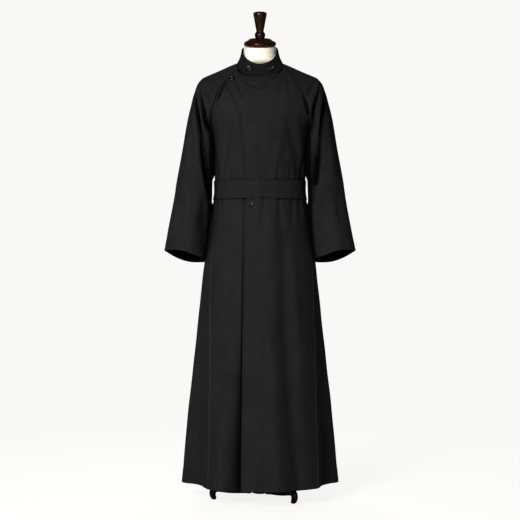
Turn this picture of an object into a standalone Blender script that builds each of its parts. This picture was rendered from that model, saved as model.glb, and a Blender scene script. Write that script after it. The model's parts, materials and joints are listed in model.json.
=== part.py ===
"""Double-breasted cassock with a cincture, on a limbless dress form and a small tripod stand.

Metres, +Z up, floor at z = 0, the garment's front faces -Y and the wearer's left is +X.
The cloth is one smooth worn surface, worked out from sections, seams and sleeve rings.
It is cut into the pieces that are sewn together, and each piece is given its thickness.
"""

import math
from collections import namedtuple

import bmesh
import bpy
import numpy as np
from mathutils import Vector
from mathutils.bvhtree import BVHTree

# ---------------------------------------------------------------- driving sizes
CLOTH = 0.0015  # thickness of the wool twill
STIFF = 0.0022  # thickness of the collar and the cincture
GAP = 0.0003  # between two pieces that are sewn or laid together
HOLLOW = 0.9  # cosine past which a seam is a hollow between two pieces
LIFT = CLOTH + GAP  # the front that wraps over lies this far out
HEM_Z = 0.0565
ARM_Z = 1.285  # bottom of the armhole
BELT_LOW, BELT_TOP = 1.041, 1.105
SEAM_ANGLE = math.radians(77)  # where the front seam meets the armhole, round from the centre
COLLAR_TOP = (1.507, 1.563, 1.588)  # height of its upper edge at front, side and back
COLLAR_HALF, COLLAR_FRONT, COLLAR_BACK = 0.0640, 0.064, 0.062
BUTTON_R, BUTTON_H = 0.0102, 0.0045
CAP_TILT = math.radians(13)  # the neck of the form leans forward
FOOT_ANGLES = (-46, 74, 194)  # degrees round from +X, so that one foot is at the back

# Columns and rows of the cloth's mesh.
LEFT_COLS, LAP_COLS, RIGHT_COLS = 7, 6, 12
GORE_COLS, BACK_COLS, NECK_COLS = 7, 18, 4
SKIRT_ROWS = (0.0565, 0.13, 0.22, 0.32, 0.42, 0.52, 0.62, 0.72, 0.81, 0.89, 0.955, 1.005)
WAIST_ROWS = (BELT_LOW, 1.073, BELT_TOP, 1.15, 1.2, 1.245, ARM_Z)

# ---------------------------------------------------------------- tables
# The body's sections, from the hem up. side, front and back are distances from the axis.
# seam is where the side-front seam lies. pull draws it in, and flat straightens the gore.
Section = namedtuple("Section", "z side front back seam_right seam_left pull flat")
BODY = [
    Section(0.0565, 0.2730, 0.228, 0.226, 0.173, 0.199, 0.08, 1.0),
    Section(0.25, 0.2560, 0.205, 0.203, 0.172, 0.195, 0.07, 0.9),
    Section(0.45, 0.2350, 0.184, 0.181, 0.172, 0.191, 0.05, 0.7),
    Section(0.60, 0.2184, 0.168, 0.165, 0.172, 0.187, 0.03, 0.45),
    Section(0.81, 0.1955, 0.148, 0.143, 0.172, 0.181, 0.0, 0.15),
    Section(0.90, 0.1810, 0.137, 0.131, 0.161, 0.165, 0.0, 0.0),
    Section(1.012, 0.1660, 0.127, 0.119, 0.149, 0.149, 0.0, 0.0),
    Section(1.073, 0.1575, 0.121, 0.112, 0.142, 0.142, 0.0, 0.0),
    Section(1.117, 0.1575, 0.122, 0.112, 0.143, 0.143, 0.0, 0.0),
    Section(1.20, 0.1635, 0.130, 0.115, 0.153, 0.153, 0.0, 0.0),
    Section(ARM_Z, 0.1750, 0.136, 0.117, 0.1705, 0.1705, 0.0, 0.0),
]

# Raglan seams from the armhole up to the collar, and the panel's depth and height at centre.
Seam = namedtuple("Seam", "t x y z deep high")
RAGLAN_FRONT = [
    Seam(0.00, 0.1705, 0.0306, ARM_Z, 0.1360, ARM_Z),
    Seam(0.17, 0.1700, 0.062, 1.306, 0.1368, 1.312),
    Seam(0.34, 0.1660, 0.083, 1.337, 0.1345, 1.342),
    Seam(0.52, 0.1570, 0.092, 1.374, 0.1275, 1.375),
    Seam(0.68, 0.1425, 0.088, 1.411, 0.1165, 1.405),
    Seam(0.80, 0.1270, 0.077, 1.437, 0.1025, 1.430),
    Seam(0.87, 0.1140, 0.068, 1.453, 0.0900, 1.447),
    Seam(0.93, 0.1020, 0.058, 1.468, 0.0745, 1.4625),
    Seam(1.00, 0.0775, 0.037, 1.496, 0.0720, 1.4638),
]
RAGLAN_BACK = [
    Seam(0.00, 0.1705, 0.0263, ARM_Z, 0.117, ARM_Z),
    Seam(0.17, 0.1695, 0.055, 1.307, 0.119, 1.325),
    Seam(0.34, 0.1650, 0.077, 1.342, 0.120, 1.365),
    Seam(0.52, 0.1540, 0.087, 1.385, 0.118, 1.408),
    Seam(0.68, 0.1370, 0.085, 1.424, 0.111, 1.448),
    Seam(0.82, 0.1145, 0.075, 1.462, 0.098, 1.485),
    Seam(0.92, 0.0910, 0.059, 1.493, 0.082, 1.512),
    Seam(1.00, 0.0670, 0.039, 1.5225, 0.064, 1.534),
]
NECK_SIDE = (0.0800, 0.0, 1.5175)  # the collar's foot at the shoulder
FRONT_ROWS = (0.17, 0.34, 0.52, 0.68, 0.80, 0.87, 0.93, 1.0)
BACK_ROWS = (0.17, 0.34, 0.52, 0.68, 0.82, 0.92, 1.0)
FLAP_ROW, CROSS_ROW = 7, 6  # rows of the flap's top and of where its edge crosses the seam

# Edge of the overlapping front, from its corner down to the hem.
Edge = namedtuple("Edge", "z x")
LAP_EDGE = [
    Edge(1.4389, -0.1170), Edge(1.3994, -0.0991), Edge(1.3669, -0.0831), Edge(1.3128, -0.0653),
    Edge(1.2550, -0.0605), Edge(1.1871, -0.0545), Edge(1.1096, -0.0500), Edge(1.0244, -0.0525),
    Edge(0.7624, -0.0554), Edge(0.3610, -0.0600), Edge(0.0565, -0.0625),
]
UNDER_EDGE = 0.034  # the lower front ends this far past the centre, out of sight

# Sleeve rings from the raglan seam to the cuff. out and inn are the top and under lines.
Ring = namedtuple("Ring", "out_x out_z inn_x inn_z front back lead")
SLEEVE = [
    Ring(0.0800, 1.5175, 0.1735, 1.285, 0.092, 0.088, 0.0),
    Ring(0.1105, 1.5048, 0.1755, 1.282, 0.092, 0.087, 0.0),
    Ring(0.1358, 1.4937, 0.1772, 1.278, 0.092, 0.086, 0.0),
    Ring(0.1600, 1.4838, 0.1785, 1.273, 0.091, 0.085, 0.0),
    Ring(0.1838, 1.4738, 0.1795, 1.267, 0.089, 0.084, 0.0),
    Ring(0.2050, 1.4625, 0.1800, 1.260, 0.086, 0.082, 0.0),
    Ring(0.2185, 1.4450, 0.1797, 1.251, 0.083, 0.080, 0.0),
    Ring(0.2275, 1.4200, 0.1785, 1.240, 0.080, 0.078, 0.0),
    Ring(0.2365, 1.3860, 0.1765, 1.222, 0.077, 0.076, 0.0),
    Ring(0.2475, 1.3400, 0.1735, 1.193, 0.074, 0.074, 0.001),
    Ring(0.2585, 1.2850, 0.1705, 1.152, 0.071, 0.072, 0.002),
    Ring(0.2729, 1.2010, 0.1675, 1.092, 0.068, 0.070, 0.003),
    Ring(0.2876, 1.1170, 0.1680, 1.040, 0.066, 0.068, 0.004),
    Ring(0.3024, 1.0330, 0.1735, 0.978, 0.064, 0.066, 0.005),
    Ring(0.3175, 0.9490, 0.1835, 0.902, 0.062, 0.064, 0.010),
    Ring(0.3340, 0.8630, 0.1945, 0.826, 0.060, 0.062, 0.017),
]

# The largest folds. A fold runs through three places, read across and up on the side it
# faces: x and z on the front and back, y and z on the sides. depth is out of the surface.
Fold = namedtuple("Fold", "face a0 z0 a1 z1 a2 z2 d0 d1 d2 w0 w1 w2")
FOLDS = [
    Fold("front", -0.120, 0.60, -0.128, 0.33, -0.134, 0.04, 0.0, 0.007, 0.022, 0.030, 0.032, 0.034),
    Fold("front", 0.014, 0.93, 0.018, 0.42, 0.044, 0.04, 0.003, 0.010, 0.018, 0.026, 0.030, 0.036),
    Fold("front", 0.057, 0.95, 0.068, 0.45, 0.098, 0.04, -0.004, -0.012, -0.014, 0.018, 0.022, 0.026),
    Fold("front", 0.097, 0.88, 0.102, 0.70, 0.112, 0.45, 0.004, 0.006, 0.000, 0.018, 0.020, 0.020),
    Fold("front", 0.128, 0.80, 0.131, 0.69, 0.133, 0.50, -0.002, -0.007, 0.000, 0.014, 0.016, 0.018),
    Fold("back", -0.105, 0.98, -0.118, 0.50, -0.135, 0.04, -0.003, -0.010, -0.018, 0.022, 0.028, 0.032),
    Fold("back", -0.058, 0.98, -0.066, 0.50, -0.078, 0.04, 0.003, 0.010, 0.020, 0.022, 0.026, 0.032),
    Fold("back", -0.006, 0.98, -0.010, 0.50, -0.014, 0.04, -0.004, -0.012, -0.024, 0.022, 0.026, 0.030),
    Fold("back", 0.052, 0.98, 0.058, 0.46, 0.066, 0.04, 0.003, 0.009, 0.018, 0.022, 0.026, 0.032),
    Fold("back", 0.104, 0.98, 0.114, 0.56, 0.126, 0.04, -0.003, -0.008, -0.020, 0.020, 0.026, 0.030),
    Fold("right", -0.040, 0.80, -0.062, 0.42, -0.085, 0.04, 0.0, -0.006, -0.010, 0.024, 0.028, 0.032),
    Fold("right", 0.045, 0.80, 0.060, 0.42, 0.080, 0.04, 0.0, -0.005, -0.012, 0.024, 0.028, 0.032),
    Fold("left", -0.042, 0.80, -0.060, 0.42, -0.088, 0.04, 0.0, -0.006, -0.009, 0.024, 0.028, 0.032),
    Fold("left", 0.040, 0.80, 0.062, 0.42, 0.078, 0.04, 0.0, -0.006, -0.013, 0.024, 0.028, 0.032),
]
# The lower front falls back behind the edge of the one that wraps over it.
UNDER_VALLEY = Fold("front", -0.071, 0.64, -0.073, 0.33, -0.071, 0.04, 0.0, -0.017, -0.044, 0.022, 0.028, 0.034)
# Folds of the empty sleeves, falling from the shoulder to the under side.
SLEEVE_FOLDS = [
    Fold("front", -0.214, 1.415, -0.196, 1.330, -0.168, 1.262, -0.003, -0.010, -0.007, 0.010, 0.013, 0.014),
    Fold("front", -0.226, 1.405, -0.200, 1.230, -0.172, 1.090, -0.002, -0.011, -0.006, 0.012, 0.016, 0.016),
    Fold("front", 0.205, 1.440, 0.186, 1.370, 0.168, 1.306, -0.003, -0.010, -0.006, 0.010, 0.013, 0.014),
    Fold("front", 0.220, 1.425, 0.204, 1.250, 0.172, 1.110, -0.002, -0.011, -0.006, 0.012, 0.016, 0.016),
    Fold("back", -0.208, 1.430, -0.190, 1.340, -0.170, 1.280, -0.003, -0.009, -0.005, 0.011, 0.014, 0.014),
    Fold("back", -0.224, 1.400, -0.204, 1.220, -0.178, 1.100, -0.002, -0.010, -0.005, 0.012, 0.016, 0.016),
    Fold("back", 0.210, 1.425, 0.192, 1.345, 0.170, 1.285, -0.003, -0.009, -0.005, 0.011, 0.014, 0.014),
    Fold("back", 0.222, 1.405, 0.202, 1.240, 0.178, 1.090, -0.002, -0.010, -0.005, 0.012, 0.016, 0.016),
]

# The form inside, as level rings: half width, depth to front and to back.
FormRing = namedtuple("FormRing", "z side front back")
FORM = [
    FormRing(0.800, 0.146, 0.104, 0.100), FormRing(0.812, 0.154, 0.110, 0.106),
    FormRing(0.900, 0.156, 0.112, 0.106), FormRing(0.980, 0.146, 0.107, 0.100),
    FormRing(1.073, 0.136, 0.101, 0.092), FormRing(1.170, 0.142, 0.107, 0.096),
    FormRing(1.260, 0.150, 0.114, 0.099), FormRing(1.330, 0.156, 0.113, 0.100),
    FormRing(1.390, 0.168, 0.098, 0.096), FormRing(1.425, 0.178, 0.078, 0.082),
    FormRing(1.448, 0.183, 0.060, 0.064), FormRing(1.464, 0.182, 0.046, 0.050),
    FormRing(1.4748, 0.1715, 0.036, 0.040), FormRing(1.4848, 0.1492, 0.034, 0.040),
    FormRing(1.4948, 0.1225, 0.032, 0.041), FormRing(1.5050, 0.0880, 0.030, 0.042),
    FormRing(1.518, 0.070, 0.050, 0.052), FormRing(1.535, 0.060, 0.057, 0.055),
    FormRing(1.555, 0.057, 0.057, 0.055), FormRing(1.5755, 0.0565, 0.057, 0.055),
]
NECK_PIVOT_Z = 1.5755


# ---------------------------------------------------------------- curves
def smooth_curve(xs, ys, x):
    """Value at x of the curve through the points, without overshoot between them."""
    xs, ys = np.asarray(xs, float), np.asarray(ys, float)
    step = np.diff(xs)
    rise = np.diff(ys) / step
    slope = np.zeros_like(ys)
    slope[0], slope[-1] = rise[0], rise[-1]
    for i in range(1, len(xs) - 1):
        if rise[i - 1] * rise[i] > 0:
            a, b = 2 * step[i] + step[i - 1], step[i] + 2 * step[i - 1]
            slope[i] = (a + b) / (a / rise[i - 1] + b / rise[i])
    x = np.clip(x, xs[0], xs[-1])
    i = np.clip(np.searchsorted(xs, x, side="right") - 1, 0, len(step) - 1)
    f = (x - xs[i]) / step[i]
    h00, h10 = (1 + 2 * f) * (1 - f) ** 2, f * (1 - f) ** 2
    h01, h11 = f * f * (3 - 2 * f), f * f * (f - 1)
    ends = h00 * ys[i] + h01 * ys[i + 1]
    return ends + step[i] * (h10 * slope[i] + h11 * slope[i + 1])


def read(table, column, at, key="z"):
    """One column of a table, read at the given value of its key column."""
    keys = [getattr(row, key) for row in table]
    values = [getattr(row, column) for row in table]
    if keys[0] > keys[-1]:
        keys, values = keys[::-1], values[::-1]
    return float(smooth_curve(keys, values, at))


def ramp(low, high, x):
    f = np.clip((x - low) / (high - low), 0, 1)
    return f * f * (3 - 2 * f)


# ---------------------------------------------------------------- the worn surface
def body_point(u, z):
    """A point of the body's tube. u is 0 at centre front, 1 and 3 at the seams, 4 at back."""
    side, depth = (-1 if u < 0 else 1), abs(u)
    half = read(BODY, "side", z)
    seam_x = read(BODY, "seam_right" if side < 0 else "seam_left", z)
    pull, flat = read(BODY, "pull", z), read(BODY, "flat", z)
    seam = math.asin(min(0.999, seam_x / half))
    reach = read(BODY, "front" if depth <= 2 else "back", z)
    way = -1 if depth <= 2 else 1
    v = depth if depth <= 2 else 4 - depth
    if v <= 1:
        a = seam * v
        x, y = half * math.sin(a), reach * math.cos(a) * (1 - pull * v * v)
    else:
        f = v - 1
        a = seam + (math.pi / 2 - seam) * f
        x, y = half * math.sin(a), reach * math.cos(a) * (1 - pull * (1 - f))
        corner = (half * math.sin(seam), reach * math.cos(seam) * (1 - pull))
        chord_x = corner[0] + (half - corner[0]) * f
        chord_y = corner[1] * (1 - f) - 0.012 * math.sin(math.pi * f)
        share = flat * (1 - float(ramp(0.55, 1.0, f)))
        x, y = x + (chord_x - x) * share, y + (chord_y - y) * share
    return (side * x, way * y, z)


def panel_point(table, way, u, t):
    """A point of the front or back above the armhole. u is -1 and 1 at the raglan seams."""
    x, y, z = (read(table, c, t, "t") for c in ("x", "y", "z"))
    deep, high = read(table, "deep", t, "t"), read(table, "high", t, "t")
    c = (math.cos(u * SEAM_ANGLE) - math.cos(SEAM_ANGLE)) / (1 - math.cos(SEAM_ANGLE))
    c = max(c, 0.0)
    across = x * math.sin(u * SEAM_ANGLE) / math.sin(SEAM_ANGLE)
    return (across, way * (y + (deep - y) * c), z + (high - z) * c**0.8)


def neck_side(side, f):
    """The collar's foot between the front and back raglan seams, f from 0 to 1."""
    a, b = RAGLAN_FRONT[-1], RAGLAN_BACK[-1]
    start, end = np.array([a.x, -a.y, a.z]), np.array([b.x, b.y, b.z])
    mid = np.array(NECK_SIDE)
    bend = 2 * mid - (start + end) / 2
    p = (1 - f) ** 2 * start + 2 * f * (1 - f) * bend + f * f * end
    return (side * p[0], p[1], p[2])


def ring_point(v, angle):
    """A point of the wearer's left sleeve: v runs over its rings, angle from the top line."""
    rows = np.arange(len(SLEEVE))
    out_x, out_z, inn_x, inn_z, front, back, lead = (
        float(smooth_curve(rows, [getattr(r, c) for r in SLEEVE], v)) for c in Ring._fields
    )
    c, s = math.cos(angle), math.sin(angle)
    x = (out_x + inn_x) / 2 + c * (out_x - inn_x) / 2
    z = (out_z + inn_z) / 2 + c * (out_z - inn_z) / 2 + s * lead
    return np.array([x, -s * (front if s > 0 else back), z])


def ring_angle(p):
    """The angle at which the first ring passes nearest a point of the raglan seam."""
    first = SLEEVE[0]
    top, low = np.array([first.out_x, first.out_z]), np.array([first.inn_x, first.inn_z])
    axis, half = (top - low) / np.linalg.norm(top - low), np.linalg.norm(top - low) / 2
    along = float((np.array([p[0], p[2]]) - (top + low) / 2) @ axis) / half
    across = -p[1] / (first.front if p[1] < 0 else first.back)
    return math.atan2(across, along)


def body_columns(z):
    """The columns round the body at a height, from the back seam round by the front."""
    half = read(BODY, "side", z)
    seam = math.asin(read(BODY, "seam_right", z) / half)
    lap = -math.asin(-read(LAP_EDGE, "x", z) / half) / seam
    left_seam = math.asin(read(BODY, "seam_left", z) / half)
    under = math.asin(UNDER_EDGE / half) / left_seam
    stops = (-4, -3, -1, lap, under, 1, 3, 4)
    counts = (BACK_COLS // 2, GORE_COLS, LEFT_COLS, LAP_COLS, RIGHT_COLS, GORE_COLS, BACK_COLS // 2)
    columns = [-4.0]
    for a, b, n in zip(stops, stops[1:], counts):
        columns += [a + (b - a) * (i + 1) / n for i in range(n)]
    return columns


def front_columns(t):
    """The columns of the upper front in one row, from seam to seam."""
    x, z = read(RAGLAN_FRONT, "x", t, "t"), read(RAGLAN_FRONT, "z", t, "t")
    edge = -read(LAP_EDGE, "x", min(z, LAP_EDGE[0].z))
    lap = -math.asin(min(0.999, edge / x * math.sin(SEAM_ANGLE))) / SEAM_ANGLE
    lap = max(lap, -0.93 + 0.25 * float(ramp(0.87, 1.0, t)))
    reach = UNDER_EDGE * (1 - t)
    under = math.asin(reach / x * math.sin(SEAM_ANGLE)) / SEAM_ANGLE
    columns = [-1.0]
    for a, b, n in ((-1, lap, LEFT_COLS), (lap, under, LAP_COLS), (under, 1, RIGHT_COLS)):
        columns += [a + (b - a) * (i + 1) / n for i in range(n)]
    return columns


def across_fold(fold, a, z):
    """How far (a, z) is from the fold's line, and how far along the line it is."""
    best, where = np.full(len(a), 1e9), np.zeros(len(a))
    ends = ((fold.a0, fold.z0), (fold.a1, fold.z1), (fold.a2, fold.z2))
    for i in range(2):
        p, q = np.array(ends[i]), np.array(ends[i + 1])
        way = q - p
        f = np.clip(((a - p[0]) * way[0] + (z - p[1]) * way[1]) / (way @ way), 0, 1)
        d = np.hypot(a - p[0] - f * way[0], z - p[1] - f * way[1])
        near = d < best
        best, where = np.where(near, d, best), np.where(near, i + f, where)
    return best, where


def folded(points, normals, folds):
    """The points moved out along their normals by every fold that faces their way."""
    moved = np.zeros(len(points))
    for fold in folds:
        if fold.face in ("front", "back"):
            way = -1 if fold.face == "front" else 1
            facing, a = ramp(0.05, 0.5, way * normals[:, 1]), points[:, 0]
        else:
            way = 1 if fold.face == "left" else -1
            facing, a = ramp(0.3, 0.7, way * normals[:, 0]), points[:, 1]
        d, where = across_fold(fold, a, points[:, 2])
        deep = np.interp(where, (0, 1, 2), (fold.d0, fold.d1, fold.d2))
        wide = np.interp(where, (0, 1, 2), (fold.w0, fold.w1, fold.w2))
        moved += facing * deep * np.exp(-((d / wide) ** 2))
    return points + normals * moved[:, None]


# ---------------------------------------------------------------- the mesh of the whole cloth
class Cloth:
    """The whole worn surface, with each face marked by the pieces that it belongs to."""

    def __init__(self):
        self.points, self.where, self.faces, self.marks = [], {}, [], []

    def add(self, p):
        key = tuple(round(c * 1e6) for c in p)
        if key not in self.where:
            self.where[key] = len(self.points)
            self.points.append(tuple(p))
        return self.where[key]

    def grid(self, rows, mark, flip=False):
        """Adds rows of points as faces. mark(row, column) names the pieces of a face."""
        ids = [[self.add(p) for p in row] for row in rows]
        for r in range(len(ids) - 1):
            for c in range(len(ids[r]) - 1):
                face = [ids[r][c], ids[r][c + 1], ids[r + 1][c + 1], ids[r + 1][c]]
                face = face[::-1] if flip else face
                for corners in self.halves(face):
                    if len(set(corners)) == 3:
                        self.faces.append(corners)
                        self.marks.append(mark(r, c))
        return ids

    def halves(self, face):
        """A four-sided face as two triangles, cut along its shorter diagonal."""
        a, b, c, d = face
        p = [np.array(self.points[i]) for i in face]
        if np.linalg.norm(p[0] - p[2]) < np.linalg.norm(p[1] - p[3]):
            return [(a, b, c), (a, c, d)]
        return [(a, b, d), (b, c, d)]

    def arrays(self):
        return np.array(self.points, float)

    def normals(self, points):
        return corner_normals(points, np.array(self.faces))


def corner_normals(points, faces):
    """The surface's direction at each point: its faces' own, weighted by their corner there."""
    total = np.zeros_like(points)
    p = points[faces]
    n = np.cross(p[:, 1] - p[:, 0], p[:, 2] - p[:, 0])
    n /= np.maximum(np.linalg.norm(n, axis=1), 1e-15)[:, None]
    for k in range(3):
        a, b = p[:, (k + 1) % 3] - p[:, k], p[:, (k + 2) % 3] - p[:, k]
        size = np.maximum(np.linalg.norm(a, axis=1) * np.linalg.norm(b, axis=1), 1e-15)
        corner = np.arccos(np.clip((a * b).sum(1) / size, -1, 1))
        np.add.at(total, faces[:, k], n * corner[:, None])
    return total / np.maximum(np.linalg.norm(total, axis=1), 1e-12)[:, None]


def build_cloth():
    cloth = Cloth()
    left = BACK_COLS // 2 + GORE_COLS
    lap, under = left + LEFT_COLS, left + LEFT_COLS + LAP_COLS
    right = under + RIGHT_COLS

    def body_mark(r, c):
        if c < BACK_COLS // 2 or c >= right + GORE_COLS:
            return ("back",)
        if c < left:
            return ("gore_right",)
        if c >= right:
            return ("gore_left",)
        if c < lap:
            return ("front_right",)
        return ("front_right", "front_left") if c < under else ("front_left",)

    rows = [[body_point(u, z) for u in body_columns(z)] for z in SKIRT_ROWS + WAIST_ROWS]
    cloth.grid(rows, body_mark)

    def front_mark(r, c):
        names = []
        if c < LEFT_COLS + LAP_COLS:
            names.append("front_right")
        if r == FLAP_ROW:
            if c >= LEFT_COLS + LAP_COLS:
                names.append("front_left")
        elif c >= LEFT_COLS or r >= CROSS_ROW:
            names.append("front_left")
        return tuple(names)

    top = rows[-1]
    front = [top[left : right + 1]]
    front += [[panel_point(RAGLAN_FRONT, -1, u, t) for u in front_columns(t)] for t in FRONT_ROWS]
    cloth.grid(front, front_mark)
    steps = [1 - 2 * i / BACK_COLS for i in range(BACK_COLS + 1)]
    back = [top[right + GORE_COLS :] + top[1 : BACK_COLS // 2 + 1]]
    back += [[panel_point(RAGLAN_BACK, 1, u, t) for u in steps] for t in BACK_ROWS]
    cloth.grid(back, lambda r, c: ("back",))

    # Round each armhole: up the front seam, along the collar, down the back and underneath.
    fans = {}
    for side, name in ((1, "sleeve_left"), (-1, "sleeve_right")):
        gore = top[right : right + GORE_COLS + 1] if side > 0 else top[left - GORE_COLS : left + 1]
        gore = gore if side > 0 else gore[::-1]
        loop = [row[-1] if side > 0 else row[0] for row in front]
        loop += [neck_side(side, (i + 1) / NECK_COLS) for i in range(NECK_COLS - 1)]
        loop += [row[0] if side > 0 else row[-1] for row in back][::-1]
        loop += gore[::-1][1:]
        mirrored = [np.array([p[0] * side, p[1], p[2]]) for p in loop]
        angles = [ring_angle(p) for p in mirrored]
        offsets = [p - ring_point(0, a) for p, a in zip(mirrored, angles)]
        fan = []
        for v in range(len(SLEEVE)):
            keep = 1 - float(ramp(0, 7, v))
            row = []
            for a, off, start in zip(angles, offsets, loop):
                p = ring_point(v, a) + off * keep
                row.append(tuple(start) if v == 0 else (p[0] * side, p[1], p[2]))
            fan.append(row)
        cloth.grid(fan, lambda r, c, name=name: (name,), flip=side > 0)
        fans[name] = fan

    # The flap's corner passes the raglan seam by one triangle of the sleeve under it.
    under = fans["sleeve_right"]
    corner = (under[0][CROSS_ROW], under[0][FLAP_ROW], under[1][FLAP_ROW])
    cloth.faces.append(tuple(cloth.add(p) for p in corner))
    cloth.marks.append(("front_left",))
    cloth.overlay = len(cloth.faces) - 1

    # The collar stands on the neck edge.
    foot = front[-1] + [neck_side(1, (i + 1) / NECK_COLS) for i in range(NECK_COLS - 1)]
    foot += back[-1]
    foot += [neck_side(-1, 1 - (i + 1) / NECK_COLS) for i in range(NECK_COLS - 1)]
    start = LEFT_COLS + LAP_COLS
    foot = foot[start:] + foot[: start + 1]
    collar = [foot, [], [], []]
    a, b, c = COLLAR_TOP
    rise = ((a + c) / 4 + b / 2, (a - c) / 2, (a + c) / 4 - b / 2)
    for p in foot:
        round_at = math.atan2(p[0], -p[1])
        deep = COLLAR_FRONT if p[1] < 0 else COLLAR_BACK
        top = np.array([
            COLLAR_HALF * math.sin(round_at),
            -deep * math.cos(round_at),
            rise[0] + rise[1] * math.cos(round_at) + rise[2] * math.cos(2 * round_at),
        ])
        for i in (1, 2, 3):
            f = i / 3
            q = np.array(p) * (1 - f) + top * f
            q[:2] *= 1 - 0.035 * math.sin(math.pi * f)
            collar[i].append(tuple(q))
    cloth.grid(collar, lambda r, c: ("collar",))
    cloth.slit = [collar[i][0] for i in range(4)]
    return cloth


# ---------------------------------------------------------------- pieces with a thickness
def cut_piece(cloth, points, normals, name, thick, lift=None, slit=()):
    """One piece as a closed solid: its faces, moved out by lift, with an inside and a rim."""
    faces = [f for f, m in zip(cloth.faces, cloth.marks) if name in m]
    if name != "front_left":
        faces = [f for f in faces if f != cloth.faces[cloth.overlay]]
    # A slit doubles the points along it, so that the piece is open there.
    extra, at = {}, list(points)
    for s in slit:
        extra[s] = len(at)
        at.append(points[s])
    if slit:
        middle = {f: np.mean([points[i] for i in f], axis=0)[0] for f in faces}
        faces = [
            tuple(extra.get(i, i) if middle[f] < points[slit[0]][0] else i for i in f)
            if any(i in extra for i in f) and points[f[0]][1] < 0 else f
            for f in faces
        ]
    at = np.array(at)
    source = {v: k for k, v in extra.items()}
    used = sorted({i for f in faces for i in f})
    index = {i: k for k, i in enumerate(used)}
    edges = {}
    for f in faces:
        for a, b in zip(f, f[1:] + f[:1]):
            edges.setdefault((min(a, b), max(a, b)), []).append((a, b, f))
    rim = [e[0] for e in edges.values() if len(e) == 1]
    others = {}
    for f in cloth.faces:
        for a, b in zip(f, f[1:] + f[:1]):
            others[(min(a, b), max(a, b))] = others.get((min(a, b), max(a, b)), 0) + 1
    pulls, flats = {}, {}
    for a, b, f in rim:
        for i in (a, b):
            flats.setdefault(i, []).append((a, b))
        sa, sb = source.get(a, a), source.get(b, b)
        if others.get((min(sa, sb), max(sa, sb)), 0) < 2 and a not in source and b not in source:
            continue
        along = at[b] - at[a]
        inward = np.cross(normals[sa] + normals[sb], along)
        inward /= np.linalg.norm(inward)
        for i in (a, b):
            pulls.setdefault(i, []).append(inward)
    own = corner_normals(at, np.array(faces))
    outer, inner = [], []
    for i in used:
        s = source.get(i, i)
        n, mitre = normals[s], cloth.mitre[s]
        p = at[i] + n * (0 if lift is None else lift[s])
        ways = pulls.get(i, [])
        # In a hollow between two pieces each wall goes straight in, so they part inside.
        if ways and own[i] @ n < HOLLOW and (ways[0] - own[i] * (ways[0] @ own[i])) @ n > 0:
            n, mitre = own[i], 1.0
        if len(ways) == 1:
            p = p + ways[0] * GAP / 2
        elif len(ways) > 1:
            p = p + (ways[0] + ways[1]) / (1 + max(-0.6, ways[0] @ ways[1])) * GAP / 2
        outer.append(p)
        inner.append(p - n * thick * mitre)
    count = len(used)
    solid = [tuple(index[i] for i in f) for f in faces]
    solid += [tuple(index[i] + count for i in f[::-1]) for f in faces]
    solid += [(index[b], index[a], index[a] + count, index[b] + count) for a, b, _ in rim]
    return np.array(outer + inner), solid, count


def mitres(cloth, points, normals):
    """How much further in the inside goes at each point, so the wall keeps its thickness."""
    least = np.ones(len(points))
    for f in cloth.faces:
        p = points[list(f)]
        n = np.cross(p[1] - p[0], p[2] - p[0])
        n /= max(np.linalg.norm(n), 1e-12)
        for i in f:
            least[i] = min(least[i], float(n @ normals[i]))
    return 1 / np.clip(least, 0.6, 1.0)


# ---------------------------------------------------------------- objects
def material(name, colour, roughness, metallic=0.0, sheen=0.0, coat=0.0):
    m = bpy.data.materials.new(name)
    m.use_nodes = True
    shader = m.node_tree.nodes["Principled BSDF"]
    shader.inputs["Base Color"].default_value = (*colour, 1)
    shader.inputs["Roughness"].default_value = roughness
    shader.inputs["Metallic"].default_value = metallic
    shader.inputs["Sheen Weight"].default_value = sheen
    shader.inputs["Coat Weight"].default_value = coat
    m.diffuse_color = (*colour, 1)
    return m


def solid_object(name, points, faces, finish, turn_out=True):
    mesh = bpy.data.meshes.new(name)
    mesh.from_pydata([tuple(map(float, p)) for p in points], [], [tuple(f) for f in faces])
    bm = bmesh.new()
    bm.from_mesh(mesh)
    bmesh.ops.triangulate(bm, faces=bm.faces[:], quad_method="SHORT_EDGE")
    if turn_out:
        bmesh.ops.recalc_face_normals(bm, faces=bm.faces[:])
    for f in bm.faces:
        f.smooth = True
    bm.to_mesh(mesh)
    bm.free()
    mesh.materials.append(finish)
    ob = bpy.data.objects.new(name, mesh)
    bpy.context.scene.collection.objects.link(ob)
    return ob


def turned(profile, segments, centre, axis):
    """Points and faces of a turned solid. profile is (height, radius) rows from low to high."""
    axis = np.array(axis, float) / np.linalg.norm(axis)
    side = np.cross(axis, (0, 1, 0) if abs(axis[1]) < 0.9 else (1, 0, 0))
    side /= np.linalg.norm(side)
    third = np.cross(axis, side)
    points, faces = [], []
    for h, r in profile:
        for k in range(segments):
            a = 2 * math.pi * k / segments
            spoke = side * math.cos(a) + third * math.sin(a)
            points.append(np.array(centre) + axis * h + spoke * r)
    for i in range(len(profile) - 1):
        for k in range(segments):
            n = (k + 1) % segments
            a, b = i * segments, (i + 1) * segments
            faces.append((a + k, a + n, b + n, b + k))
    faces.append(tuple(range(segments))[::-1])
    faces.append(tuple(range((len(profile) - 1) * segments, len(profile) * segments)))
    return points, faces


def button_profile():
    """A button on its low shank: a raised rim round a dished middle."""
    r, h = BUTTON_R, BUTTON_H
    return [
        (0.0, 0.62 * r), (0.12 * h, 0.86 * r), (0.45 * h, r), (0.80 * h, 0.97 * r),
        (h, 0.86 * r), (0.92 * h, 0.70 * r), (0.62 * h, 0.56 * r), (0.55 * h, 0.24 * r),
    ]


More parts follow.
